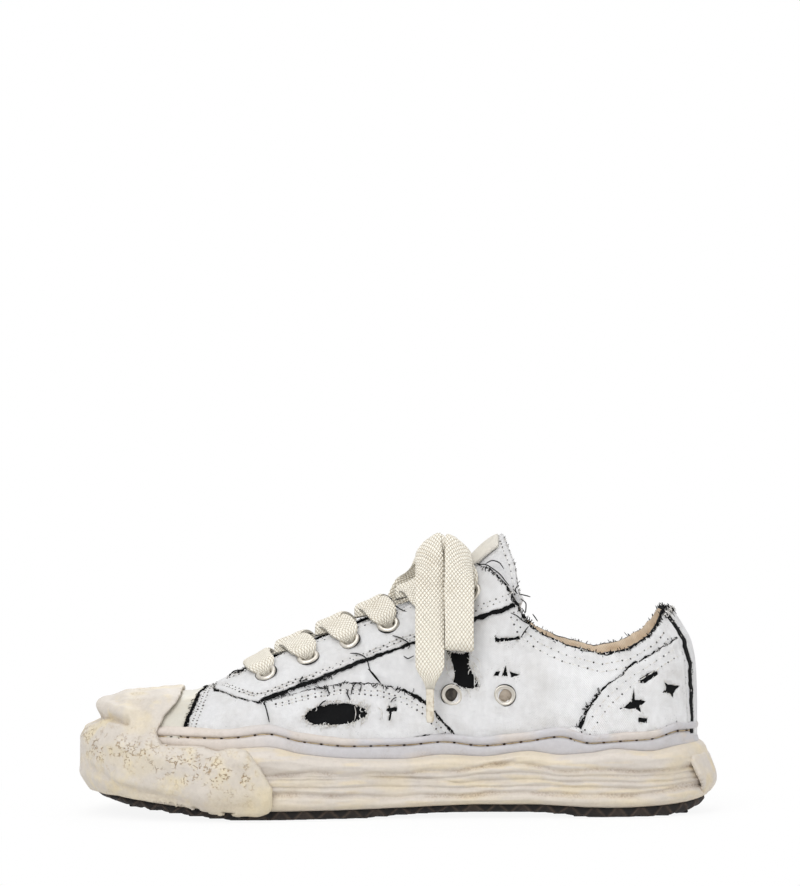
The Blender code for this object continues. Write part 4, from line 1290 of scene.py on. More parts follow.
@dataclass
class Sole:
    """The thick ribbed midsole, the foxing round the upper, the melted toe bumper, the plate, the tread."""

    around: int = 340
    tread_around: int = 760
    lug_pitch: float = 9.6 * MM
    lug_length: float = 7.9 * MM
    first_bar: float = -0.1240
    last_bar: float = 0.138
    heel_tuck: float = 1.9
    stitch: float = 8 * MM

    profile = Table(
        "share out",
        ((0.0, 5.0), (0.04, 8.4), (0.12, 10.0), (0.22, 9.9), (0.34, 8.7), (0.50, 8.3), (0.62, 8.6),
         (0.72, 9.4), (0.84, 9.5), (0.93, 8.3), (1.0, 4.4)),
    )
    wall = ((0, 3.6), (0.08, 4.7), (0.22, 5.1), (0.36, 5.2), (0.5, 5.3), (0.64, 5.3), (0.8, 5.2), (1, 4.9))
    grooves = (
        (1.2, 1.6, ((-62, 22.0), (-46, 22.5), (-20, 21.5), (0.7, 21.4), (16, 22.5), (27, 22.2), (34, 23.7),
                    (48, 25.6), (60, 27.4))),
        (1.2, 1.5, ((42, 26.0), (60, 25.6), (67, 24.7), (80, 22.8), (95, 23.3), (114, 22.3), (131, 23.3),
                    (160, 24.5))),
        (0.6, 0.8, ((-160, 21.0), (-60, 20.8), (20, 19.0), (28, 19.9), (56, 21.4), (80, 20.1), (103, 19.9),
                      (135, 20.9), (150, 21.5))),
        (0.55, 0.8, ((-160, 19.0), (-60, 19.0), (-30, 19.0), (0.7, 19.3), (20, 18.2), (27, 17.0), (56, 18.1),
                    (80, 17.6), (103, 17.1), (138, 18.1), (150, 18.5))),
        (0.6, 0.8, ((-160, 15.5), (-60, 15.5), (0.7, 14.9), (43, 14.7), (75, 15.2), (103, 14.2), (142, 16.2),
                    (150, 16.5))),
        (1.2, 2.0, ((-160, 12.5), (-62, 12.3), (-30, 11.5), (0.7, 11.0), (32, 11.3), (56, 11.9), (80, 11.2),
                    (103, 10.6), (135, 13.6), (150, 14.5))),
    )
    foxing_profile = (
        ("flange", -0.6, 1.4), ("flange", -0.15, 2.2), ("flange", 0.5, 2.75), ("middle", 0.0, 2.95),
        ("band", -1.2, 2.8), ("band", -0.5, 2.35), ("band", 0.0, 1.75), ("band", 0.45, 2.3),
        ("band", 1.0, 3.3), ("lip", -1.7, 3.85), ("lip", -0.8, 3.75), ("lip", -0.15, 3.1),
        ("lip", 0.1, 2.2), ("lip", -0.2, 1.2), ("lip", -1.2, 0.4),
    )

    folds = (
        (((-160, 44.6), (-150, 45.4), (-143.6, 48.2), (-135, 46.8), (-129.5, 45.8)), 1.5, 3.2),
        (((-160, 48.6), (-150, 49.6), (-142, 52.4), (-134, 50.8), (-128, 49.4)), 2.4, -1.6),
        (((-146.3, 23.1), (-132.4, 16.1), (-112.7, 11.4), (-83, 9.2), (-69.9, 10.4)), 2.2, 1.2),
        (((-116, 38), (-104, 31.6), (-92, 29.4), (-82, 28.6), (-76, 25), (-72, 17)), 3.0, 0.9),
        (((-122, 56), (-124, 48), (-127, 41)), 4.0, 0.6),
        (((-128, 57), (-122, 52), (-121, 46), (-124, 38), (-130, 31)), 3.0, 0.7),
    )
    bumper_edge = (
        (-104, 59), (-106, 54.5), (-111.5, 48.5), (-114.5, 41), (-111, 35.8), (-100, 35.4), (-92, 35.2),
        (-85, 33), (-78.5, 34), (-72.5, 32.8), (-66, 26.2), (-59.5, 15.5), (-59, 8.5), (-64, 3),
    )

    def __post_init__(self) -> None:
        """Makes the finish that the midsole and the plate share."""
        self.cream = Rubber("yellowed midsole rubber", tint(209, 201, 192), tint(221, 206, 176),
                            tint(140, 108, 74), 0.55, (30 * MM, 0.52, 0.78)).made()

    def lid(self, start: int, upwards: bool, size: int) -> Array:
        """Faces that close a ring of size points across the shoe, from its first point's number."""
        i = np.arange(size // 2)
        quads = np.stack([i, (size - i) % size, (size - i - 1) % size, i + 1], axis=-1) + start
        return quads[:, ::-1] if upwards else quads

    def stack(self, name: str, rings: list[Array], finish: Material, masks: Mapping[str, list[Array]],
              lids: bool) -> Piece:
        """A piece through rings, the lowest first, closed by lids or by a ring of faces inside.

        Args:
            name: The piece's name.
            rings: The rings, all of one size.
            finish: Its material.
            masks: Painted values for each ring.
            lids: Whether the lowest and the highest ring are closed across the shoe.

        Returns:
            The piece.
        """
        size = len(rings[0])
        top, faces = (len(rings) - 1) * size, [lattice(len(rings), size, True)]
        if lids:
            flat = self.lid(0, False, size), self.lid(top, True, size)
            faces += [rows[1:-1] for rows in flat]
            # the first and the last face of a lid have only three corners
            faces += [np.array([list(dict.fromkeys(rows[k].tolist()))]) for rows in flat for k in (0, -1)]
        else:
            here = np.arange(size)
            ahead = (here + 1) % size
            faces.append(np.stack([top + here, top + ahead, ahead, here], axis=-1))
        painted = {key: np.concatenate(values) for key, values in masks.items()}
        return build(name, np.concatenate(rings), faces, [finish], masks=painted)

    def midsole(self) -> None:
        """The ribbed midsole with its wavy grooves and worn, yellowed edges."""
        s = LAST.way(self.around)
        x = LAST.section(s)[0]
        low, high = LAST.sole.at("edge", x), LAST.sole.at("flange", x)
        spread = LAST.sole.at("spread", x)
        rough, none = Noise(11), np.zeros(2 * self.around - 2)
        rings, grime, stain = [LAST.ring(1.0 * MM, low)], [none], [none]
        for share in np.linspace(0, 1, 70):
            height = low + share * (high - low)
            narrow = 1 - 0.30 * ease(x, 0.126, LAST.heel) * ease(share, 0.4, 0.95)
            out = np.stack([self.profile.at("out", share) * spread * narrow] * 2) * MM
            cut = self.grooved(x, height)
            ring = LAST.ring(out - cut * MM * spread, height)
            bulge = rough.at(ring, 22, up=1.6) * 0.65 + rough.at(ring, 6, 2, 1, 1.6) * 0.22
            bulge += rough.at(ring, 15, 3, 2, 6.0) * 0.50
            fade = math.sin(math.pi * min(max(share, 0.02), 0.98)) ** 0.5
            ring = LAST.ring(out - cut * MM * spread + halves(bulge) * MM * fade, height)
            ring[:, 2] += rough.at(ring, 16, 2, 5) * 0.5 * MM * math.sin(math.pi * share)
            rings.append(ring)
            # The grime here is browner in the deepest grooves, patchy and flecked: painted shade in the
            # grooves, with dirt.
            deep = np.clip(np.concatenate([cut, cut[::-1][1:-1]]) / 1.6, 0, 1) ** 1.5
            grime.append(deep * 0.62 * ease(rough.at(ring, 12, 3, 9), -0.6, 0.5))
            warm = ease(rough.at(ring, 26, 3, 7, 2.2), 0.05, 0.85) * 0.5
            warm = np.maximum(warm, ease(0.22 - share, -0.05, 0.2) * 0.3)
            ridge = ease(rough.at(ring, 16, 3, 12, 7.0), 0.1, 0.8) * 0.6
            stain.append(np.maximum(warm, ridge))
        rings += [LAST.ring(1.0 * MM, high + 0.2 * MM), LAST.ring(-3 * MM, high - 1 * MM),
                  LAST.ring(-4 * MM, LAST.sole.at("bed", x) - 0.6 * MM)]
        masks = {"grime": grime + [none] * 3, "stain": stain + [none] * 3}
        hold([self.stack("sole_midsole", rings, self.cream, masks, True)], ["midsole"])

    def grooved(self, x: Array, height: Array) -> Array:
        """How deep the wavy grooves cut the wall at places from toe to heel, in millimetres.

        Args:
            x: Places from toe to heel.
            height: The height at each place.

        Returns:
            The depths.
        """
        cut = np.zeros(len(x))
        for width, depth, corners in self.grooves:
            line = Table("x z", corners).at("z", x / MM) * MM
            line = line + HEAVE.at(np.column_stack([x, x * 0 + depth]), 17) * 0.8 * MM
            first, last = corners[0][0] * MM, corners[-1][0] * MM
            fade = ease(x, first - 5 * MM, first + 10 * MM) * ease(-x, -last - 5 * MM, 10 * MM - last)
            cut += depth * fade * hump(height - line, width * MM)
        return cut

    def tucked(self, x: Array) -> Array:
        """How far the foxing is drawn in towards the back of the heel, in millimetres."""
        return self.heel_tuck * ease(x, 0.125, 0.1425)

    def foxing(self) -> None:
        """The foxing's band and its rounded, nicked lip, with the sewn groove between them."""
        s = LAST.way(self.around)
        x = LAST.section(s)[0]
        level = {key: LAST.sole.at(key, x) for key in ("flange", "band", "lip")}
        level["middle"] = (level["flange"] + level["band"]) / 2
        rough, along = Noise(12), np.linspace(0, 1, len(self.foxing_profile))
        heights = np.stack([level[key] + rise * MM for key, rise, _ in self.foxing_profile])
        outs = np.array([out for _, _, out in self.foxing_profile])
        rings, stain, grime = [], [], []
        for share in np.linspace(0, 1, 34):
            k = min(int(share * (len(along) - 1)), len(along) - 2)
            u = share * (len(along) - 1) - k
            height = heights[k] * (1 - u) + heights[k + 1] * u
            out = float(Table("a o", np.column_stack([along, outs])).at("o", share))
            ring = LAST.ring(out * MM, height)
            back = halves(self.tucked(ring[:, 0])) * ease(share, 0.05, 0.3)
            wave = rough.at(ring, 14, 3, up=0.5) * 0.30 + rough.at(ring, 3) * 0.10
            nick = np.minimum(rough.at(ring, 7, 2, 4, 0.2) + 0.55, 0) * 0.9
            fade = min(1.0, 5 * share) * (1.0 if share < 0.9 else 0.3)
            ring = LAST.ring((out - back + halves((wave + nick * (share > 0.6)) * fade)) * MM, height)
            ring[:, 2] += rough.at(ring, 15, 3, 8, 0) * 0.6 * MM * ease(share, 0.35, 0.8)
            rings.append(ring)
            spots = ease(rough.at(ring, 9, 3, 3), 0.25, 0.8)
            # The grime here is spots of dirt and, along the sewn groove, painted shade.
            groove = hump(share - 0.43, 0.035)
            grime.append(spots * 0.18 + groove * 0.55 * ease(rough.at(ring, 8, 2, 6), -0.7, 0.3))
            warm = ease(rough.at(ring, 20, 2, 2, 0.4), 0.1, 0.7) * (share > 0.5) * 0.7
            stain.append(np.maximum(warm, 0.85 * ease(-ring[:, 0], 0.030, 0.100)))
        skin = Rubber("pale foxing rubber", tint(198, 196, 199), tint(212, 201, 190), tint(146, 124, 98),
                      0.55, (16 * MM, 0.55, 0.78)).made()
        masks = {"grime": grime, "stain": stain}
        hold([self.stack("sole_foxing", rings, skin, masks, False)], ["foxing"])
        self.sewing(x, level["band"])

    def sewing(self, x: Array, band: Array) -> None:
        """The tan thread in the foxing's groove, and the dark holes that it goes through.

        Args:
            x: Places from toe to heel.
            band: The groove's height at each place.
        """
        line = LAST.ring((2.15 - np.stack([self.tucked(x)] * 2)) * MM, band + 0.05 * MM)
        line[:, 2] += HEAVE.at(line, 18, 2, 8, 0) * 0.2 * MM
        line = np.concatenate([line, line[:1]])
        starts = np.arange(0, run(line)[-1] - self.stitch, self.stitch)[:, None]
        share = np.linspace(0, 1, 9)
        proud, level = np.sin(math.pi * share) * 0.28 - 0.25, np.full(len(share), 0.12)
        tan = Yarn("tan thread", tint(196, 178, 148), tint(160, 138, 106)).made()
        brown = Yarn("thread holes", tint(48, 34, 24), tint(90, 66, 44)).made()
        for name, finish, first, long, rise, radius, taper in (
                ("foxing_thread", tan, 0.7, 6.8, proud, 0.30, 0.5),
                ("foxing_holes", brown, -0.65, 1.3, level, 0.40, 0.6)):
            points = placed(line, starts + first * MM + share * long * MM)
            away = unit(points * np.array([0.25, 1, 0]))
            strands = Strands(name, finish, 6)
            strands.add(points + away * rise[:, None] * MM, radius * MM, taper)
            hold([strands.made()], ())

    def melted(self, node: str, name: str, voxel: float, passes: int) -> tuple[Piece, Array, Array]:
        """A copy of a node's form with rounded edges and even small faces, its points and normals.

        Args:
            node: The node that is copied.
            name: The piece's name.
            voxel: The size of the small faces.
            passes: How often it is smoothed.

        Returns:
            The copy, its points and their normals.
        """
        copy = linked(name, bpy.data.objects[node].data.copy())
        mend(copy, 2e-6)
        copy.data.materials.clear()
        apply(copy, "REMESH", mode="VOXEL", voxel_size=voxel, use_smooth_shade=True)
        apply(copy, "SMOOTH", factor=0.5, iterations=passes)
        return copy, coordinates(copy), normals(copy)

    def folded(self, points: Array) -> Array:
        """How far the bumper's folds move points inwards, in millimetres.

        Args:
            points: The points.

        Returns:
            The distances.
        """
        total = np.zeros(len(points))
        for corners, width, depth in self.folds:
            gap, _ = apart(points[:, [0, 2]], resample(np.array(corners, float) * MM, 24))
            total += depth * hump(gap, width * MM)
        return total

    def bumper(self) -> None:
        """The lumpy cream toe bumper, with pits, ripples and a brow over its groove."""
        piece, points, out = self.melted("toe_bumper", "sole_bumper", 0.85 * MM, 12)
        rough = Noise(21)
        lumps = rough.at(points, 17, 3) * 0.95 + rough.at(points, 6, 2, 1) * 0.38
        slant = points @ np.array([[0.75, 0.0, 0.25], [0.0, 0.6, 0.0], [0.55, 0.0, -0.2]])
        ripple = rough.at(slant, 2.6, 2, 2) * 0.36
        x, z = points[:, 0], points[:, 2]
        lumps = lumps * (1 - 0.65 * ease(-x, 0.128, 0.146)) * ease(z, -0.002, 0.008)
        tip = ease(-x, 0.132, 0.146) * ease(z, 0.018, 0.026) * ease(-z, -0.046, -0.040)
        gap, _ = apart(points[:, [0, 2]], np.array(self.bumper_edge) * MM)
        bulge = np.sqrt(1 - (1 - np.clip(gap / (7 * MM), 0, 1)) ** 2) * ease(x, -0.118, -0.086) * 2.2
        bulge = bulge * ease(-z, -0.040, -0.030) * (np.abs(out[:, 1]) > 0.2)
        moved = points + out * ((lumps + ripple * tip + bulge - self.folded(points)) * MM)[:, None]
        moved[:, 2] -= 2.0 * MM * ease(x, -0.115, -0.085) * ease(-z, -0.016, -0.008)
        brow = hump(z - 0.0478, 0.0045) * ease(-x, 0.136, 0.147)
        moved[:, 0] += brow * 2.4 * MM
        place(piece, moved)
        low = ease(-z, -0.020, -0.008) * ease(rough.at(points, 16, 2, 3), -0.5, 0.4)
        rear = ease(x, -0.085, -0.060)
        patch = ease(rough.at(points, 14, 3, 4), 0.05, 0.75)
        band = hump(z - 0.0315 + 0.20 * (x + 0.125), 0.0085) * ease(-x, 0.064, 0.072)
        dots = ease(rough.at(points, 12, 2, 6), 0.1, 0.6)
        # The grime here is a little darker near the bottom and darker in the folds' troughs: painted shade in
        # the folds.
        masks = {"stain": np.clip(low * 0.5 + rear * 0.25 + patch * 0.40, 0, 1),
                 "grime": low * 0.06 + np.clip(self.folded(points) / 3, 0, 1) * 0.30,
                 "pits": np.clip(band + dots * 0.35, 0, 1)}
        paint(piece.data, masks)
        skin = Rubber("melted bumper rubber", tint(206, 198, 188), tint(219, 206, 177), tint(162, 131, 94),
                      0.55, (12 * MM, 0.48, 0.74), (1, 1, 1), 1.0, 0.09 * MM, 0.08, 0.045)
        piece.data.materials.append(skin.made())
        hold([piece], ["toe_bumper"])

    def plate(self) -> None:
        """The moulded plate on the back of the heel."""
        piece, points, out = self.melted("heel_plate", "sole_plate", 0.6 * MM, 14)
        rough = Noise(22)
        lumps = rough.at(points, 9, 3) * 0.40 + 0.9
        moved = points + out * (lumps * MM)[:, None]
        z = points[:, 2]
        moved[:, 0] -= (3.6 * ease(z, 0.017, 0.029) + 1.5 * ease(-z, -0.015, -0.010)) * MM
        place(piece, moved)
        stain = ease(rough.at(points, 12, 3, 4), -0.2, 0.6)
        paint(piece.data, {"stain": stain, "grime": stain * 0.2})
        piece.data.materials.append(self.cream)
        hold([piece], ["heel_plate"])

    def tread(self) -> None:
        """The dark outsole, its wall cut to facets that are painted lighter on their ridges and one side, as
        painted light with patches of wear, and its underside to a bar at every pitch.
        """
        count = self.tread_around
        s = LAST.way(count)
        x = LAST.section(s)[0]
        low, edge = LAST.sole.at("tread", x) + 0.25 * MM, LAST.sole.at("edge", x) + 0.3 * MM
        tip = np.maximum(ease(-x, 0.118, 0.141), ease(x, 0.122, 0.143))
        rough, rings, stain = Noise(31), [], []
        base = LAST.ring(5.0 * MM, low, count)
        gone = run(base) + rough.at(base, 20, 1) * 1.6 * MM
        fold = np.abs((gone / (1.2 * self.lug_pitch)) % 1 * 2 - 1)
        scallop = np.abs(np.cos(math.pi * gone[:count] / self.lug_pitch)) ** 8 * 0.7 * MM
        for share, out in self.wall:
            ridge = hump(fold - 0.12 - 0.76 * share, 0.13)
            round_end = (4.5 - 1.7 * (x > 0)) * tip * (1 - min(share / 0.8, 1)) ** 2
            rings.append(LAST.ring((out + 0.55 * halves(ridge) - 0.2 - round_end) * MM,
                                   low + scallop * (1 - share) ** 2 + share * (edge - low), count))
            # The stain here is lighter brown on each facet's ridge and on one side of each zigzag, in
            # patches: painted light on the facets, with wear.
            worn = ease(rough.at(rings[-1], 8), -0.4, 0.5)
            stain.append(np.clip(ridge * 0.8 + 0.5 * (fold > 0.12 + 0.76 * share) * worn, 0, 1))
        skin = Rubber("dark outsole rubber", tint(17, 12, 11), tint(74, 62, 54), tint(80, 68, 58), 0.75,
                      (9 * MM, 0.62, 0.8), grain=0.12 * MM).made()
        masks = {"stain": stain, "grime": [np.zeros(2 * count - 2)] * len(rings)}
        pieces, middle = [self.stack("sole_tread", rings, skin, masks, True)], self.first_bar
        wear = np.random.default_rng(5)
        while middle < self.last_bar:
            ends = [np.interp(middle, side[:, 0], side[:, 1]) for side in halves(rings[1])]
            bottom = float(LAST.sole.at("tread", middle))
            if ends[1] - ends[0] > 12 * MM:
                ends = [ends[0] + 2.2 * MM, ends[1] - 2.2 * MM]
                pieces.append(self.bar(middle, ends, bottom, bottom + 1.2 * MM, wear, skin))
            middle += self.lug_pitch
        hold([joined(pieces)], ["outsole"])

    def bar(self, x: float, ends: Sequence[float], bottom: float, top: float,
            wear: np.random.Generator, finish: Material) -> Piece:
        """One bar of the tread across the sole, with worn, rounded edges.

        Args:
            x: Its middle.
            ends: Its two ends across the sole.
            bottom: Its lowest height.
            top: Its highest height.
            wear: The random numbers of the wear.
            finish: Its material.

        Returns:
            The bar.
        """
        bpy.ops.object.select_all(action="DESELECT")
        bpy.ops.mesh.primitive_cube_add(size=1.0, location=(x, (ends[0] + ends[1]) / 2, (top + bottom) / 2),
                                        scale=(self.lug_length, ends[1] - ends[0] - 1.2 * MM, top - bottom))
        bar = bpy.context.object
        bpy.ops.object.transform_apply(location=True, rotation=True, scale=True)
        bpy.ops.object.mode_set(mode="EDIT")
        mesh = bmesh.from_edit_mesh(bar.data)
        for face in mesh.faces:
            face.select_set(face.normal.z < -0.7)
        bmesh.update_edit_mesh(bar.data)
        bpy.ops.mesh.bevel(offset=wear.uniform(0.45, 0.75) * MM, segments=3, affect="EDGES")
        bpy.ops.object.mode_set(mode="OBJECT")
        bar.data.materials.append(finish)
        return bar


# ---------------------------------------------------------------- upper
@dataclass
class Pattern:
    """The cutting lines of the upper, as (x, z) corners seen from one side, in metres."""

    collar: Corners = (
        (0.0385, 0.1195), (0.0445, 0.1178), (0.0520, 0.1105), (0.0565, 0.1020), (0.0600, 0.0940),
        (0.0680, 0.0875), (0.0800, 0.0822), (0.0970, 0.0778), (0.1100, 0.0802), (0.1205, 0.0865),
        (0.1260, 0.0930), (0.1285, 0.0985), (0.1330, 0.0985),
    )
    eyestay: Corners = (
        (-0.0875, 0.0586), (-0.0780, 0.0558), (-0.0665, 0.0536), (0.0540, 0.0987), (0.0560, 0.0997),
    )
    vamp_back: Corners = (
        (-0.0600, 0.0548), (-0.0420, 0.0600), (-0.0250, 0.0630), (-0.0080, 0.0625), (0.0050, 0.0595),
        (0.0135, 0.0550), (0.0200, 0.0480), (0.0285, 0.0380), (0.0300, 0.0340),
    )
    counter_front: Corners = (
        (0.0825, 0.0340), (0.0840, 0.0383), (0.0868, 0.0469), (0.0963, 0.0603), (0.1085, 0.0706),
        (0.1210, 0.0779), (0.1366, 0.0867),
    )
    cap_back: Corners = ((-0.0930, 0.0585), (-0.0960, 0.0560), (-0.1010, 0.0460), (-0.1040, 0.0360))
    tongue: Corners = (
        (0.0500, 0.1340), (0.0550, 0.1210), (0.0580, 0.1030), (0.0550, 0.0920), (0.0400, 0.0820),
        (0.0000, 0.0680), (-0.0600, 0.0480),
    )
    cap_gap: tuple[float, float] = (0.0006, 0.0)
    stay_inset: float = 1.2 * MM
    stay_drop: float = 0.0010
    rim_drop: float = 0.9 * MM
    throat = Table("x half", ((-0.0720, 0.0075), (-0.0640, 0.0095), (-0.0300, 0.0105), (0.0360, 0.0120),
                              (0.0620, 0.0130)))

    def line(self, corners: Corners, side: float, shift: tuple[float, float] = (0.0, 0.0)) -> Array:
        """A cutting line on the flat cloth of one side, moved a little by a shift in x and z."""
        return LAST.outline([(x + shift[0], z + shift[1]) for x, z in corners], side)

    def foot(self, start: float, end: float, side: float, under: float = 2.5 * MM) -> Array:
        """The line under the foxing's lip, from one x to another."""
        x = np.linspace(start, end, max(2, int(abs(end - start) / (1.5 * MM))))
        return LAST.seen(x, LAST.sole.at("lip", x) - under, side)

    def slot(self, side: float, grow: float, start: float = 0.0385) -> Array:
        """The throat's edge from the collar to the middle of its round front end, wider by grow.

        Args:
            side: The side.
            grow: How much wider it is.
            start: The x at which it starts.

        Returns:
            Its flat line.
        """
        x = np.linspace(start, self.throat.places[0], 70)
        half = self.throat.at("half", x) + grow
        turn = np.radians(np.linspace(0, 90, 12))[1:]
        x = np.concatenate([x, x[-1] - half[-1] * np.sin(turn)])
        off = np.concatenate([half, half[-1] * np.cos(turn)])
        return LAST.unroll(*LAST.across(x, side * np.maximum(off, 1e-6)))

    def rim(self, side: float, drop: float, start: int = 0) -> Array:
        """The collar's line, lowered by drop, to the middle of the heel."""
        return self.line(self.collar[start:], side, (0.0, -drop))


def mirrored(make: Callable[[float], Array]) -> Array:
    """A closed loop of a line on the inner side and the same line on the outer side, run backwards."""
    return np.concatenate([make(MEDIAL), make(LATERAL)[::-1]])


@dataclass
class Needlework:
    """Rows of white stitches with a dark needle hole between each two."""

    thread: Material
    dark: Material
    creases: Creases
    pitch: float = 3.4 * MM

    def __post_init__(self) -> None:
        """Starts the joined meshes of the stitches and of the holes."""
        self.stitches = Strands("upper_stitches", self.thread, 4)
        self.holes = Strands("upper_needle_holes", self.dark, 5)
        self.chance = np.random.default_rng(41)

    def lay(self, flat: Array, height: Array | float) -> Array:
        """Points over the creased cloth at flat places.

        Args:
            flat: The flat places.
            height: Their heights over the last.

        Returns:
            The points.
        """
        flat = np.asarray(flat)
        spots = flat.reshape(-1, 2)
        rise = np.broadcast_to(height, flat.shape[:-1]).ravel() + self.creases.at(spots)
        s, t = LAST.roll(spots)
        return LAST.points(s, t, rise)[0].reshape(*flat.shape[:-1], 3)

    def row(self, line: Array, height: float, pitch: float | None = None) -> None:
        """Sews along a flat line at a height over the last.

        Args:
            line: The line.
            height: The height.
            pitch: The stitch, or None for the usual one.
        """
        pitch = pitch or self.pitch
        starts = np.arange(0.5 * pitch, run(line)[-1] - pitch, pitch)
        starts = starts + self.chance.normal(0, 0.12 * MM, len(starts))
        keep = self.chance.random(len(starts)) > 0.03
        share = np.linspace(0, 1, 6)
        ways = starts[:, None] + (0.14 + 0.72 * share[None]) * pitch
        rise = height + (np.sin(math.pi * share) * 0.22 - 0.20) * MM
        threads = self.lay(placed(line, ways), np.broadcast_to(rise, ways.shape))
        self.stitches.add(threads[keep], 0.27 * MM, 0.5)
        dots = np.repeat(placed(line, starts)[:, None], 3, axis=1)
        rise = np.broadcast_to(height + np.array([-0.30, 0.0, 0.20]) * MM, dots.shape[:-1])
        size = np.clip(self.chance.normal(0.45, 0.09, len(starts)), 0.28, 0.65) * MM
        self.holes.add(self.lay(dots, rise)[keep], size[keep], 0.75)


def beside(line: Array, distance: float) -> Array:
    """A flat line moved sideways, to the right of its way.

    Args:
        line: The line.
        distance: How far it moves, less than 0 for the left.

    Returns:
        The moved line.
    """
    ahead = np.gradient(line, axis=0)
    for _ in range(3):
        ahead[1:-1] = (ahead[:-2] + ahead[1:-1] + ahead[2:]) / 3
    ahead = unit(ahead)
    return line + np.stack([ahead[:, 1], -ahead[:, 0]], axis=-1) * distance


@dataclass
class Fringe:
    """Frayed yarn ends along the cut edges, and loose threads over the cloth."""

    black: Material
    white: Material
    creases: Creases
    density: float = 0.245
    weight: float = 1.38

    def __post_init__(self) -> None:
        """Starts the joined meshes of the black and the white yarns."""
        self.dark = Strands("upper_black_fray", self.black, 3)
        self.pale = Strands("upper_white_fray", self.white, 3)
        self.loose = Strands("upper_loose_threads", self.black, 5)
        self.chance = np.random.default_rng(77)

    def lay(self, flat: Array, height: Array) -> Array:
        """Points over the creased cloth at flat places, which stay on the shoe.

        Args:
            flat: The flat places.
            height: Their heights over the last.

        Returns:
            The points.
        """
        spots = flat.reshape(-1, 2)
        spots = np.column_stack([np.minimum(spots[:, 0], LAST.ways[-1] - 1e-6), spots[:, 1]])
        s, t = LAST.roll(spots)
        return LAST.points(s, t, height.ravel() + self.creases.at(spots))[0].reshape(*flat.shape[:-1], 3)

    def edge(self, line: Array, height: float, each: float, long: tuple[float, float], pale: bool = False,
             out: float = 1.0, thick: float = 0.13 * MM, curl: float = 1.4, rise: float = 0.5 * MM) -> None:
        """Frays along a flat line.

        Args:
            line: The edge. Yarns grow to the right of its way.
            height: The cloth's height over the last.
            each: Yarns for each millimetre.
            long: The shortest and longest yarn, in millimetres.
            pale: White yarns instead of black ones.
            out: Which way they grow, -1 for the left.
            thick: A yarn's radius.
            curl: How far they turn on their way, in radians.
            rise: How far their ends stand off.
        """
        whole = run(line)[-1]
        count = int(whole / MM * each * self.density)
        if count < 1:
            return
        way = self.chance.random(count) * whole
        clump = HEAVE.at(np.column_stack([way, way * 0]), 5)
        start = placed(line, way)
        ahead = placed(line, way, unit(np.gradient(line, axis=0)))
        bearing = np.arctan2(-ahead[:, 0] * out, ahead[:, 1] * out) + self.chance.normal(0, 0.75, count)
        length = (long[0] + (long[1] - long[0]) * self.chance.random(count) ** 2.2) * MM * (1 + 0.6 * clump)
        share = np.linspace(0, 1, 5)
        turn = bearing[:, None] + self.chance.normal(0, curl, count)[:, None] * share
        step = np.stack([np.cos(turn), np.sin(turn)], axis=-1) * (length / 4)[:, None, None]
        step[:, 0] = 0
        flat = start[:, None] + np.cumsum(step, axis=1)
        lift = (self.chance.random(count) ** 1.5 * rise)[:, None] * np.sin(share * 2.2)
        lines = self.lay(flat, height - 0.1 * MM + lift)
        size = self.weight * thick * self.chance.uniform(0.7, 1.3, count)
        (self.pale if pale else self.dark).add(lines, size, 0.4)

    def thread(self, corners: Corners, side: float, height: float = 2.2, thick: float = 0.3,
               arch: float = 0.7, pale: bool = False) -> None:
        """One loose thread, with all sizes in millimetres.

        Args:
            corners: The (x, z) places that it goes through.
            side: The side that it is seen from.
            height: The height of its ends over the last.
            thick: Its radius.
            arch: How far its middle stands higher.
            pale: White instead of black.
        """
        line = resample(np.array(corners, float) * MM, 16)
        flat = LAST.seen(*line.T, side)
        wave = HEAVE.at(line, 4, 2, 5) * 0.3
        rise = (height + np.sin(np.linspace(0, math.pi, 16)) * arch + wave) * MM
        bundle = self.pale if pale else self.loose
        points = self.lay(flat, rise)
        if pale:
            points = resample(points, 6)
        bundle.add(points, thick * MM, 0.5)


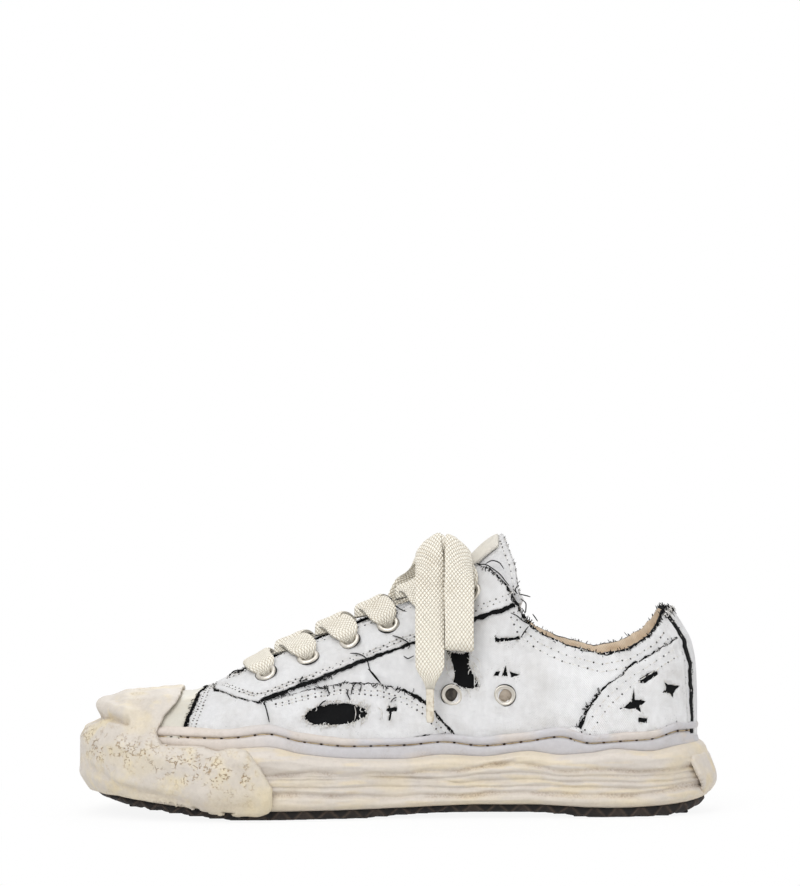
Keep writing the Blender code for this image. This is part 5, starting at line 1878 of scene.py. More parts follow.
@dataclass
class Upper:
    """The canvas upper: a black shell with its lining, white skins and overlays, toe cap and tongue."""

    pattern: Pattern
    creases: Creases
    white: Material
    black: Material
    lining: Material
    tape: Material
    needle: Needlework
    fringe: Fringe

    holes_vamp: Corners = (
        (-45.5, 47.5), (-43.5, 50.0), (-41.0, 51.4), (-37.1, 52.9), (-33.2, 53.6), (-29.4, 53.9),
        (-24.3, 54.1), (-21.0, 53.2), (-18.5, 52.7), (-16.1, 51.4), (-15.2, 49.3), (-16.2, 47.2),
        (-20.4, 45.5), (-22.9, 44.4), (-26.8, 44.0), (-31.9, 43.7), (-37.1, 43.8), (-41.6, 44.1),
        (-44.0, 45.8),
    )
    star_vamp: Corners = (
        (-4.6, 54.6), (-3.9, 51.8), (-0.8, 52.5), (-0.9, 50.0), (-3.1, 49.8), (-4.0, 45.6), (-4.9, 45.8),
        (-4.7, 49.6), (-6.4, 50.6), (-5.0, 51.7),
    )
    torn: Corners = (
        (22.9, 78.9), (27.0, 77.9), (30.2, 77.3), (33.8, 77.9), (33.9, 71.5), (35.7, 67.7), (39.1, 61.9),
        (35.7, 60.9), (31.9, 60.6), (28.8, 62.1), (26.1, 63.8), (26.8, 66.7), (26.1, 72.2), (24.4, 75.9),
    )
    cuts: Sequence[Corners] = (
        ((45.4, 67.0), (46.6, 69.2), (48.7, 69.4), (47.8, 66.6)),
        ((49.2, 66.8), (51.3, 71.8), (52.3, 66.9)),
        ((53.0, 69.4), (58.0, 67.5), (53.9, 66.2)),
        ((46.0, 86.0), (46.5, 82.8), (58.4, 84.5), (58.2, 85.9), (47.7, 84.5)),
    )
    counter_cuts: Sequence[Corners] = (
        ((114.8, 63.9), (115.2, 65.7), (118.3, 68.0), (123.6, 69.4), (124.0, 67.6), (120.2, 65.4),
         (117.5, 64.0)),
        ((104.8, 51.5), (108.9, 53.9), (110.9, 55.3), (112.2, 62.0), (112.8, 56.0), (118.0, 54.8),
         (114.7, 52.9), (116.0, 49.0), (111.8, 51.6), (108.4, 51.2)),
        ((114.0, 47.7), (118.5, 46.9), (118.0, 44.6), (114.1, 45.3)),
        ((126.6, 64.0), (129.2, 62.3), (131.6, 62.1), (134.4, 61.6), (132.2, 59.5), (131.2, 58.3),
         (131.0, 56.2), (129.0, 58.3), (125.6, 58.9), (127.4, 60.8)),
    )

    def __post_init__(self) -> None:
        """Lays out the seams, along which every layer is drawn in."""
        cut = self.pattern
        self.seams: dict[str, list[Array]] = {"vamp": [], "eyestay": [], "counter": [], "collar": []}
        for side in SIDES.values():
            back, lower = cut.line(cut.vamp_back, side), cut.line(cut.eyestay, side)
            front = cut.line(cut.cap_back, side, cut.cap_gap)
            self.seams["vamp"] += [beside(back, -side * inset * MM) for inset in (2.9, 4.7)]
            self.seams["vamp"] += [beside(front, side * inset * MM) for inset in (3.0, 5.2)]
            self.seams["eyestay"] += [beside(lower, side * inset * MM) for inset in (3.4, 5.0)]
            self.seams["eyestay"].append(beside(cut.slot(side, cut.stay_inset), side * 2.4 * MM))
            front = cut.line(cut.counter_front, side)
            rim = cut.rim(side, cut.rim_drop, 3)
            for name, line, insets in (("counter", front, (2.5, 4.5)), ("collar", rim, (2.3, 4.2))):
                for inset in insets:
                    row = beside(line, -side * inset * MM)
                    self.seams[name].append(row[row[:, 0] < self.heel_end(0.0165)])
        for lines in self.seams.values():
            for line in lines:
                self.creases.pucker(line)

    def skin(self, name: str, outline: Array, top: float, depth: float, holes: Sequence[Array] = (),
             finish: Material | None = None, **more: object) -> Piece:
        """One layer of cloth on the last.

        Args:
            name: The piece's name.
            outline: Its flat outline.
            top: The height of its outer face over the last, in millimetres.
            depth: Its thickness in millimetres.
            holes: The outlines of its holes.
            finish: Its material, or None for the white canvas.
            more: Other fields of Cloth.

        Returns:
            The piece.
        """
        return Cloth(name, outline, top * MM, depth * MM, [finish or self.white], holes, creases=self.creases,
                     **more).made()

    def flat(self, corners: Corners) -> Array:
        """The flat outline of a hole in the inner side, from its corners in millimetres."""
        return LAST.outline([(x * MM, z * MM) for x, z in (*corners, corners[0])], MEDIAL)[:-1]

    def shell(self) -> list[Piece]:
        """The black canvas shell with the beige lining on its inner face."""
        cut, far = self.pattern, LAST.ways[-1]

        def half(side: float) -> Array:
            """One side's part of the outline."""
            low = LAST.unroll(np.array([1.0]), np.array([side]))[0]
            rim = cut.rim(side, 0.0)
            high = np.array([far, rim[-1, 1]])
            heel = dense(np.array([high, low]), 0.8 * MM)
            s = np.linspace(1, 0.03, 260)
            feather = LAST.unroll(s, np.full_like(s, side * 0.999))
            throat = cut.slot(side, 0.0)[::-1]
            return np.concatenate([throat, rim[1:-1], heel, feather[1:]])

        loop = mirrored(half)
        holes = self.eyelet_holes() + self.vent_holes(3.4)
        return [Cloth("upper_shell", loop, 0.0, 2.0 * MM, [self.black, self.lining], holes, 0.15 * MM,
                      2.0 * MM, self.creases, inner=1).made()]

    def eyelet_holes(self) -> list[Array]:
        """The round holes under the eyelets, the inner side's first."""
        return [self.ring_hole(x, z, side, 3.4) for side in SIDES.values() for x, z in Hardware.eyelets]

    def vent_holes(self, radius: float) -> list[Array]:
        """The round holes under the two vents, with a radius in millimetres."""
        return [self.ring_hole(x, z, MEDIAL, radius) for x, z in Hardware.vents]

    def ring_hole(self, x: float, z: float, side: float, radius: float) -> Array:
        """The flat outline of a round hole round an eyelet.

        Args:
            x: Its place along the shoe.
            z: Its height.
            side: Its side.
            radius: Its radius in millimetres.

        Returns:
            The outline.
        """
        turn = np.linspace(0, 2 * math.pi, ROUND, endpoint=False)
        middle = LAST.seen(x, z, side)
        s, t = LAST.roll(middle)
        here = LAST.surface(s, t)
        across = np.linalg.norm(LAST.surface(s, t + 1e-3) - here) / (1e-3 * LAST.girth)
        return middle + np.stack([np.cos(turn), np.sin(turn) / across], axis=-1) * radius * MM

    def quarters(self) -> list[Piece]:
        """The white skins of the two sides, torn and slit on the inner one."""
        cut, made, holes = self.pattern, [], [self.flat(c) for c in (self.torn, *self.cuts)]
        end = LAST.ways[-1] - 6 * MM
        for name, side in SIDES.items():
            foot, rim = cut.foot(-0.066, 0.140, side), cut.rim(side, cut.rim_drop, 3)
            heel = np.array([[end, foot[-1, 1]], [end, rim[-1, 1]]])
            under = cut.line([(-0.066, 0.0566), (0.0520, 0.1000)], side)
            loop = np.concatenate([foot, heel, rim[rim[:, 0] < end][::-1], under[::-1]])
            through = holes + self.vent_holes(3.2) if side == MEDIAL else []
            made.append(self.skin(f"upper_quarter_{name}", self.turned(loop), 0.85, 0.7, through))
            self.collar_fray(rim, side)
        for line in self.seams["collar"]:
            self.needle.row(line, 0.85 * MM, 3.2 * MM)
        for corners, long, each in ((self.torn, 2.6, 9.0), *((slit, 0.7, 3.0) for slit in self.cuts)):
            self.hole_fray(corners, 0.85, long, each)
        return made

    def turned(self, loop: Array) -> Array:
        """The loop, run so that its inside is on the left."""
        x, y = loop.T
        area = np.sum(x * np.roll(y, -1) - np.roll(x, -1) * y)
        return loop if area > 0 else loop[::-1]

    def collar_fray(self, line: Array, side: float) -> None:
        """The mixed black and white fringe of the collar, thickest on the heel tab.

        Args:
            line: The collar's flat line.
            side: Its side.
        """
        fray = self.fringe
        tab = line[line[:, 0] > self.heel_end(0.030)]
        for edge, height, each, long, pale, out, rise, thick in (
                (line, -0.1, 14.0, (0.3, 1.2), False, side, 0.4, 0.18),
                (line, 0.8, 6.0, (0.3, 1.1), True, side, 0.5, 0.13),
                (line, 0.9, 1.2, (0.3, 1.0), False, -side, 0.4, 0.13),
                (tab, 0.2, 9.0, (0.5, 1.8), False, side, 0.6, 0.22),
                (tab, 1.2, 8.0, (0.6, 2.4), False, -side, 0.9, 0.22),
                (tab, 1.4, 9.0, (0.8, 3.2), True, -side, 1.1, 0.2)):
            fray.edge(edge, height * MM, each, long, pale, out, thick * MM, rise=rise * MM)
        band = line[line[:, 0] > np.interp(0.104, LAST.surface(*LAST.roll(line))[:, 0], line[:, 0])]
        high = resample(band, 60) + [0.0, side * 1.1 * MM]
        fray.dark.add(fray.lay(high, np.full(60, -0.3 * MM))[None], 1.3 * MM, 0.5)
        fray.edge(band, 0.9 * MM, 7.0, (0.4, 1.6), out=side, rise=0.6 * MM, thick=0.22 * MM)
        if side == LATERAL:
            brink = resample(self.pattern.rim(side, -1.3 * MM, 3), 160)
            fray.dark.add(fray.lay(brink, np.full(160, -3.2 * MM))[None], 0.9 * MM, 0.8)
        front = line[line[:, 0] < line[0, 0] + 14 * MM]
        fray.edge(front, 0.6 * MM, 8.0, (0.6, 2.6), out=side, rise=0.9 * MM, thick=0.2 * MM)

    def hole_fray(self, corners: Corners, height: float, long: float, each: float) -> None:
        """White yarns and a few black ones round a hole.

        Args:
            corners: The hole's corners, in millimetres.
            height: The cloth's height over the last, in millimetres.
            long: The length of most yarns, in millimetres.
            each: Yarns for each millimetre.
        """
        loop = self.turned(self.flat(corners))
        loop = np.concatenate([loop, loop[:1]])
        fray = self.fringe
        fray.edge(loop, (height - 0.3) * MM, 0.3 * each, (0.3, 0.55 * long), True, -1.0, rise=0.5 * MM,
                  thick=0.17 * MM)
        fray.edge(loop, height * MM, each, (0.3, 1.3 * long), True, 1.0, rise=1.1 * MM, thick=0.20 * MM)
        fray.edge(loop, (height - 0.1) * MM, 0.15 * each, (0.3, 0.9 * long), False, 1.0, rise=0.3 * MM)

    def overlay(self, name: str, outline: Array, inset: Callable[[Array], Array], holes: Sequence[Array] = (),
                lift: Callable[[Array], Array] | None = None, base: float = 0.9) -> list[Piece]:
        """A white overlay on its wider black backing.

        Args:
            name: The overlay's name.
            outline: The backing's flat outline.
            inset: Gives how much narrower the overlay is at points, in millimetres.
            holes: The outlines of the holes.
            lift: Gives how far it stands off at flat places.
            base: The height of what it lies on, in millimetres.

        Returns:
            The overlay and its backing.
        """
        outline = dense(self.turned(outline), 0.8 * MM, closed=True)
        margin = inset(LAST.surface(*LAST.roll(outline))) * (1 + 0.35 * HEAVE.at(outline, 6))
        narrow = self.shrunk(outline, margin)
        rings = [hole for hole in holes if len(hole) == ROUND]
        backing = self.skin(f"{name}_backing", outline, base + 0.3, 0.32, rings, self.black, ragged=0.7 * MM,
                            lift=lift, step=1.5 * MM)
        top = self.skin(name, narrow, base + 0.92, 0.6, holes, lift=lift)
        closed = np.concatenate([narrow, narrow[:1]])
        self.fringe.edge(closed, (base + 0.45) * MM, 5.0, (0.3, 1.1), rise=0.3 * MM, thick=0.17 * MM)
        self.fringe.edge(closed, (base + 0.85) * MM, 1.0, (0.3, 1.0), out=-1.0, rise=0.4 * MM)
        self.fringe.edge(closed, (base + 0.85) * MM, 3.0, (0.2, 0.8), True, rise=0.4 * MM)
        return [top, backing]

    def shrunk(self, loop: Array, inset: Array) -> Array:
        """A closed loop, run with its inside on the left, drawn in by a margin in millimetres.

        Args:
            loop: The loop.
            inset: The margin at each of its points.

        Returns:
            The smaller loop.
        """
        ahead = np.roll(loop, -1, axis=0) - np.roll(loop, 1, axis=0)
        for _ in range(3):
            ahead = (np.roll(ahead, 1, axis=0) + ahead + np.roll(ahead, -1, axis=0)) / 3
        ahead = unit(ahead)
        return loop + np.stack([-ahead[:, 1], ahead[:, 0]], axis=-1) * inset[:, None] * MM

    def vamp(self) -> list[Piece]:
        """The vamp round the toes, with the long rip and the small star on its inner side."""
        cut = self.pattern

        def half(side: float) -> Array:
            """One side's part of the outline."""
            front = cut.line(cut.cap_back, side, cut.cap_gap)
            foot = cut.foot(-0.1035, 0.0305, side)
            back = cut.line(cut.vamp_back[::-1], side)
            stay = cut.line(cut.eyestay[2::-1], side, (-0.0004, -0.0004))
            ridge = LAST.ridge(-0.0885, side)
            top = LAST.ridge(-0.0925, side)
            return np.concatenate([top, front[1:], foot, back, stay, ridge])

        def margin(points: Array) -> Array:
            """A wide black edge in front and a narrow one behind."""
            wide = ease(-points[:, 0], 0.084, 0.088)
            x = points[:, 0]
            behind = 0.1 + 0.35 * ease(x, -0.066, -0.058) + 0.9 * ease(x, -0.004, 0.012)
            return wide * 1.3 + (1 - wide) * behind

        holes = [self.flat(c) for c in (self.holes_vamp, self.star_vamp)]
        made = self.overlay("upper_vamp", mirrored(half), margin, holes)
        for side in SIDES.values():
            front = cut.line(cut.cap_back, side, cut.cap_gap)
            back = cut.line(cut.vamp_back[1:6], side)
            for out, each, long in ((-side, 14.0, (0.6, 2.6)), (side, 6.0, (0.3, 1.6))):
                self.fringe.edge(front, 1.7 * MM, each, long, out=out, rise=0.7 * MM, thick=0.19 * MM)
            inner = beside(front, side * 1.6 * MM)
            self.fringe.edge(inner, 1.8 * MM, 4.0, (0.3, 1.4), True, side, rise=0.6 * MM)
            self.fringe.edge(back, 1.8 * MM, 5.0, (0.8, 3.4), out=-side, rise=0.8 * MM, thick=0.18 * MM)
        for line in self.seams["vamp"]:
            self.needle.row(line, 1.8 * MM, 3.2 * MM)
        self.hole_fray(self.holes_vamp, 1.8, 2.5, 15.0)
        self.hole_fray(self.star_vamp, 1.8, 0.9, 4.0)
        return made

    def eyestay(self) -> list[Piece]:
        """The eyestay round the throat, in one piece."""
        cut = self.pattern

        def half(side: float) -> Array:
            """One side's part of the outline."""
            throat = cut.slot(side, cut.stay_inset)[::-1]
            rim = cut.line(cut.collar[:4], side, (0.0, -cut.stay_drop))
            lower = cut.line(cut.eyestay[::-1], side)
            front = LAST.ridge(-0.0880, side)
            return np.concatenate([throat, rim[1:], lower, front])

        def lift(flat: Array) -> Array:
            """Stands the lower edge off the vamp a little."""
            return 0.35 * MM * ease(HEAVE.at(flat, 20, 1), -0.4, 0.6)

        def margin(points: Array) -> Array:
            """A thin black edge round the nose and along the throat, and a wide one along the lower edge."""
            x, z = points[:, 0], points[:, 2]
            lower = ease(x, -0.068, -0.063) * ease(0.082 + 0.37 * x - z, 0.0, 0.004)
            throat = ease(z - 0.092 - 0.40 * x, 0.0, 0.004) * 0.35
            return 0.45 - throat - 0.25 * ease(-x, 0.062, 0.070) + lower * (1.65 - 0.5 * ease(x, 0.0, 0.03))

        made = self.overlay("upper_eyestay", mirrored(half), margin, self.eyelet_holes(), lift, 1.05)
        for side in SIDES.values():
            tufts = cut.line(((-0.0650, 0.0540), (-0.0300, 0.0668)), side)
            rear = cut.line(cut.collar[:4], side, (0.0, -cut.stay_drop))
            throat = cut.slot(side, cut.stay_inset)
            for edge, height, each, long, pale, out, rise, thick in (
                    (tufts, 1.9, 13.0, (0.8, 3.2), False, -side, 0.6, 0.18),
                    (rear, 2.3, 5.0, (0.4, 1.8), False, -side, 0.7, 0.18),
                    (rear, 2.3, 4.0, (0.3, 1.4), True, -side, 0.7, 0.13),
                    (throat, 2.0, 3.0, (0.4, 1.6), False, side, 0.6, 0.18),
                    (throat, 2.0, 3.0, (0.4, 1.4), True, -side, 0.6, 0.16)):
                self.fringe.edge(edge, height * MM, each, long, pale, out, thick * MM, rise=rise * MM)
        for line in self.seams["eyestay"]:
            self.needle.row(line, 2.2 * MM)
        return made

    def counters(self) -> list[Piece]:
        """The counters on both sides of the heel, worn through on the inner one."""
        cut, made = self.pattern, []
        end = self.heel_end(0.0148)
        for name, side in SIDES.items():
            front, foot = cut.line(cut.counter_front, side), cut.foot(0.1390, 0.0830, side)
            front, foot = front[front[:, 0] < end], foot[foot[:, 0] < end]
            corner = np.array([[end, front[-1, 1]], [end, foot[0, 1]]])
            loop = np.concatenate([front, corner, foot])
            holes = [self.flat(c) for c in self.counter_cuts] if side == MEDIAL else []
            made += self.overlay(f"upper_counter_{name}", loop, self.counter_margin, holes)
            tuft = cut.line(cut.counter_front[:4], side)
            self.fringe.edge(tuft, 1.6 * MM, 8.0, (0.4, 1.5), out=side, rise=0.5 * MM, thick=0.2 * MM)
            self.fringe.edge(tuft, 1.9 * MM, 3.0, (0.3, 1.1), out=-side, rise=0.5 * MM, thick=0.17 * MM)
        for line in self.seams["counter"]:
            self.needle.row(line, 1.8 * MM)
        for corners in self.counter_cuts:
            self.hole_fray(corners, 1.8, 0.7, 3.0)
        return made

    def counter_margin(self, points: Array) -> Array:
        """A black edge that is wide at the foot of the counter's front and narrow above."""
        return 0.45 + 1.1 * ease(-points[:, 0], -0.0905, -0.0855)

    def heel_end(self, across: float) -> float:
        """The flat place p at which the heel is that far from its middle."""
        s = np.linspace(0.9, 1, 400)
        points = LAST.surface(s, np.full_like(s, -0.55))
        return float(np.interp(-across, points[:, 1], LAST.unroll(s, s)[:, 0]))

    def back_strip(self) -> list[Piece]:
        """The narrow strip up the back of the heel."""
        made = []
        for name, half, top, depth, finish in (("upper_back_strip", 12.2, 1.25, 0.7, self.white),
                                               ("upper_back_backing", 15.3, 0.80, 0.5, self.black)):
            w = np.linspace(-half, half, 24) * MM
            z = np.linspace(36, 97.6, 70) * MM
            grid_z, grid_w = np.meshgrid(z, w, indexing="ij")
            wear = HEAVE.at(np.stack([grid_w * 0 + np.sign(grid_w), grid_z], -1), 3.0, 3) * 0.75 * MM
            grid_w = grid_w + wear * np.sign(grid_w) * (np.abs(grid_w) > (half - 0.5) * MM)
            s, t = self.round_back(grid_w, grid_z)
            flat = np.stack([grid_w, grid_z], axis=-1).reshape(-1, 2)
            rise = top * MM + HEAVE.at(flat, 18) * 0.4 * MM
            points, _ = LAST.points(s.ravel(), t.ravel(), rise)
            edge = 1 - ease(half * MM - np.abs(grid_w).ravel(), 0.2 * MM, 3 * MM)
            piece = build(name, points, [lattice(len(z), len(w), False)], [finish], flat, {"edge": edge})
            apply(piece, "SOLIDIFY", thickness=depth * MM, offset=-1.0)
            made.append(piece)
        z = np.linspace(46, 95, 80) * MM
        for side in SIDES.values():
            for half, out in ((12.4, side), (14.7, -side)):
                line = LAST.unroll(*self.round_back(np.full(80, side * half * MM), z))
                self.fringe.edge(line, 1.2 * MM, 3.2, (0.3, 1.2), False, -out, rise=0.5 * MM, thick=0.2 * MM)
                self.fringe.edge(line, 1.2 * MM, 0.8, (0.4, 1.6), True, out, rise=0.6 * MM, thick=0.14 * MM)
        return made

    def round_back(self, w: Array, z: Array) -> tuple[Array, Array]:
        """(s, t) of the places on the back of the heel, w across and z up.

        Args:
            w: Distances from the middle of the heel.
            z: Heights.

        Returns:
            s and t.
        """
        base, top = LAST.sole.at("bed", LAST.heel), 0.145
        power = 2 / 2.4
        angle = np.arccos(np.clip((z - base) / (top - base), 0, 1) ** (1 / power))
        width = np.clip(np.abs(w) / (0.039 * np.sin(angle) ** power), 0, 1)
        along = (1 - width**2) ** (1 / LAST.heel_round)
        return np.arccos(-along) / math.pi, np.where(w < 0, -1.0, 1.0) * angle * 2 / math.pi

    def toe_cap(self) -> list[Piece]:
        """The smooth rubber cap over the toes."""
        cut = self.pattern

        def half(side: float) -> Array:
            """One side's part of the outline."""
            back = cut.line(cut.cap_back[::-1], side)
            s = np.linspace(0.03, float(LAST.roll(back[0])[0]), 60)
            low = LAST.unroll(s, np.full_like(s, side * 0.97))
            ridge = LAST.ridge(-0.0925, side)
            return np.concatenate([low, back, ridge])

        finish = Rubber("toe cap rubber", tint(198, 194, 182), tint(204, 196, 176), tint(164, 146, 116), 0.45,
                        (22 * MM, 0.56, 0.75), (1, 1, 1), coat=0.2).made()
        loop = self.turned(mirrored(half))
        return [Cloth("upper_toe_cap", loop, 2.1 * MM, 1.8 * MM, [finish], (), 0.05 * MM, 1.8 * MM,
                      self.creases).made()]

    def tongue(self) -> list[Piece]:
        """The tongue with its frayed rear edge, and the blank folded label on its end."""
        cut = self.pattern

        def half(side: float) -> Array:
            """One side's part of the outline."""
            return np.concatenate([LAST.ridge(0.0490, side), cut.line(cut.tongue, side),
                                   LAST.ridge(-0.0780, side)])

        loop = self.turned(mirrored(half))
        tongue = Cloth("upper_tongue", loop, -2.3 * MM, 2.8 * MM, [self.white, self.lining], (), 0.5 * MM,
                       1.5 * MM, self.creases, inner=1).made()
        for side in SIDES.values():
            rear = cut.line(cut.tongue[:4], side)
            self.fringe.edge(rear, -2.6 * MM, 5.0, (0.3, 1.5), out=side, rise=0.5 * MM)
            self.fringe.edge(rear, -2.4 * MM, 6.0, (0.3, 1.6), True, out=side, rise=0.6 * MM)
            self.needle.row(beside(rear, -side * 2.2 * MM), -2.25 * MM)
        return [tongue, self.label()]

    def label(self) -> Piece:
        """The blank folded label on the tongue's end."""
        off = np.linspace(-9.4, 13.0, 30) * MM
        x = np.linspace(0.0336, 0.0474, 18)
        grid_x, grid_off = np.meshgrid(x, off, indexing="ij")
        s, t = LAST.across(grid_x, grid_off - LAST.sizes.at("centre", grid_x))
        flat = np.stack([grid_x, grid_off], axis=-1).reshape(-1, 2)
        swell = np.sin(math.pi * (grid_x - x[0]) / (x[-1] - x[0])) ** 0.6
        rise = (-2.2 + 1.2 * swell).ravel() * MM + HEAVE.at(flat, 9) * 0.2 * MM
        points, _ = LAST.points(s.ravel(), t.ravel(), rise)
        label = build("upper_label", points, [lattice(len(x), len(off), False)], [self.tape], flat,
                      {"edge": np.zeros(len(flat))})
        apply(label, "SOLIDIFY", thickness=1.3 * MM, offset=-1.0)
        return label


# ---------------------------------------------------------------- eyelets and laces
@dataclass
class Hardware:
    """The nickel eyelets along the throat and the two stepped vents on the inner side."""

    finish: Material
    hole_shades: Sequence[Material]
    shade: Strands
    lay: Callable[[Array, float], Array]

    eyelets = ((-0.0628, 0.0660), (-0.0431, 0.0735), (-0.0233, 0.0815), (-0.0045, 0.0895), (0.0155, 0.0975),
               (0.0354, 0.1055))
    vents = ((0.0254, 0.0578), (0.0508, 0.0578))
    eyelet_ring: Corners = (
        (2.60, -2.6), (2.65, -0.5), (2.95, 0.35), (3.50, 1.00), (4.20, 1.12), (4.95, 0.80), (5.40, 0.15),
        (5.25, -0.10), (3.40, -0.15), (3.30, -2.6),
    )
    vent_ring: Corners = (
        (3.05, -1.8), (3.10, -0.1), (3.25, 0.25), (3.55, 0.32), (3.85, 0.12), (4.05, 0.42), (4.45, 0.62),
        (4.85, 0.48), (5.10, 0.12), (4.95, -0.10), (3.60, -0.15), (3.55, -1.8),
    )

    def ring(self, name: str, profile: Corners) -> Piece:
        """One ring, spun round its axis at the origin.

        Args:
            name: The name of the ring.
            profile: Its section, as radius and height in millimetres.

        Returns:
            The ring.
        """
        mesh, count = bpy.data.meshes.new(name), len(profile)
        edges = [(k, (k + 1) % count) for k in range(count)]
        mesh.from_pydata([(r * MM, 0, z * MM) for r, z in profile], edges, [])
        made = linked(name, mesh)
        pick(made)
        bpy.ops.object.mode_set(mode="EDIT")
        bpy.ops.mesh.select_all(action="SELECT")
        bpy.ops.mesh.spin(steps=36, angle=2 * math.pi, center=(0, 0, 0), axis=(0, 0, 1))
        bpy.ops.object.mode_set(mode="OBJECT")
        mend(made, 1e-6, True)
        bpy.ops.object.shade_smooth()
        made.data.materials.append(self.finish)
        return made

    def made(self) -> None:
        """Makes a bent, worn copy of the ring at every hole, with a thin black ring of painted shadow round
        its rim and a disc of painted shade inside each vent.
        """
        chance = np.random.default_rng(9)
        rows = [(f"eyelet_{name}_{k + 1}", x, z, side, 2.15) for name, side in SIDES.items()
                for k, (x, z) in enumerate(self.eyelets)]
        rows += [(f"vent_{k + 1}", x, z, MEDIAL, 0.9) for k, (x, z) in enumerate(self.vents)]
        models = {"eyelet": (self.ring("ring_eyelet", self.eyelet_ring), 5.35 * MM),
                  "vent": (self.ring("ring_vent", self.vent_ring), 5.15 * MM)}
        around = np.linspace(0, 2 * math.pi, 32, endpoint=False)
        circle = np.stack([np.cos(around), np.sin(around), around * 0], axis=-1)
        for node, x, z, side, rise in rows:
            model, edge = models[node.split("_")[0]]
            flat = LAST.seen(x, z, side)[None]
            middle = self.lay(flat, rise * MM)[0]
            _, normal = LAST.points(*LAST.roll(flat))
            normal = unit(normal[0] + chance.normal(0, 0.05, 3))
            ahead = unit(np.array([1.0, 0, 0]) - normal * normal[0])
            axes = np.stack([ahead, np.cross(normal, ahead), normal])
            shape = coordinates(model)
            turn = np.arctan2(shape[:, 1], shape[:, 0])
            dent = 1 + 0.035 * np.sin(2 * turn + chance.uniform(0, 6))
            dent += 0.02 * np.sin(3 * turn + chance.uniform(0, 6))
            shape = shape * np.stack([dent, dent, np.ones_like(dent)], axis=-1)
            pieces = [linked(f"metal_{node}", model.data.copy())]
            place(pieces[0], middle + shape @ axes)
            # A thin black strand round each ring's rim: painted shadow where the metal meets the cloth.
            line = np.concatenate([circle, circle[:1]]) * edge
            self.shade.add((middle + line @ axes)[None], 0.26 * MM, 1.0)
            if node.startswith("vent"):
                # A flat disc in each vent's hole, coloured like its shaded inside: painted shade.
                shade_disc = middle + (circle * 3.2 * MM - [0, 0, 0.15 * MM]) @ axes
                pieces.append(build(f"metal_{node}_hole", shade_disc, [np.arange(len(shade_disc))[None]],
                                    [self.hole_shades[int(node[-1]) - 1]]))
                apply(pieces[1], "SOLIDIFY", thickness=0.3 * MM, offset=-1.0)
            hold(pieces, [node])
        for model, _ in models.values():
            bpy.data.objects.remove(model)


def sweep(name: str, line: Array, across: Array, out: Array, width: Array, depth: Array,
          finishes: Sequence[Material]) -> Piece:
    """A soft flat band along a line, with closed ends.

    Args:
        name: The piece's name.
        line: Its middle points.
        across: The direction of its width at each point.
        out: The direction of its face at each point.
        width: Its width at each point.
        depth: Its depth at each point.
        finishes: Its materials.

    Returns:
        The piece, with its flat map along and across it.
    """
    turn = np.linspace(0, 2 * math.pi, 28, endpoint=False)
    wide = np.sign(np.cos(turn)) * np.abs(np.cos(turn)) ** 0.62 / 2
    deep = np.sign(np.sin(turn)) * np.abs(np.sin(turn)) ** 0.75 / 2
    deep = deep * (1 - 0.18 * np.cos(wide * 2 * math.pi))
    rings = (line[:, None] + across[:, None] * (wide[None] * width[:, None])[..., None]
             + out[:, None] * (deep[None] * depth[:, None])[..., None])
    count, size = rings.shape[:2]
    flat = np.empty((count, size, 2))
    flat[..., 0], flat[..., 1] = run(line)[:, None], wide * 13.5 * MM + (deep > 0) * 0.04
    faces = lattice(count, size, True)
    caps = np.stack([np.arange(size)[::-1], (count - 1) * size + np.arange(size)])
    piece = build(name, rings.reshape(-1, 3), [faces, caps], finishes, flat.reshape(-1, 2))
    mend(piece, outwards=True)
    return piece


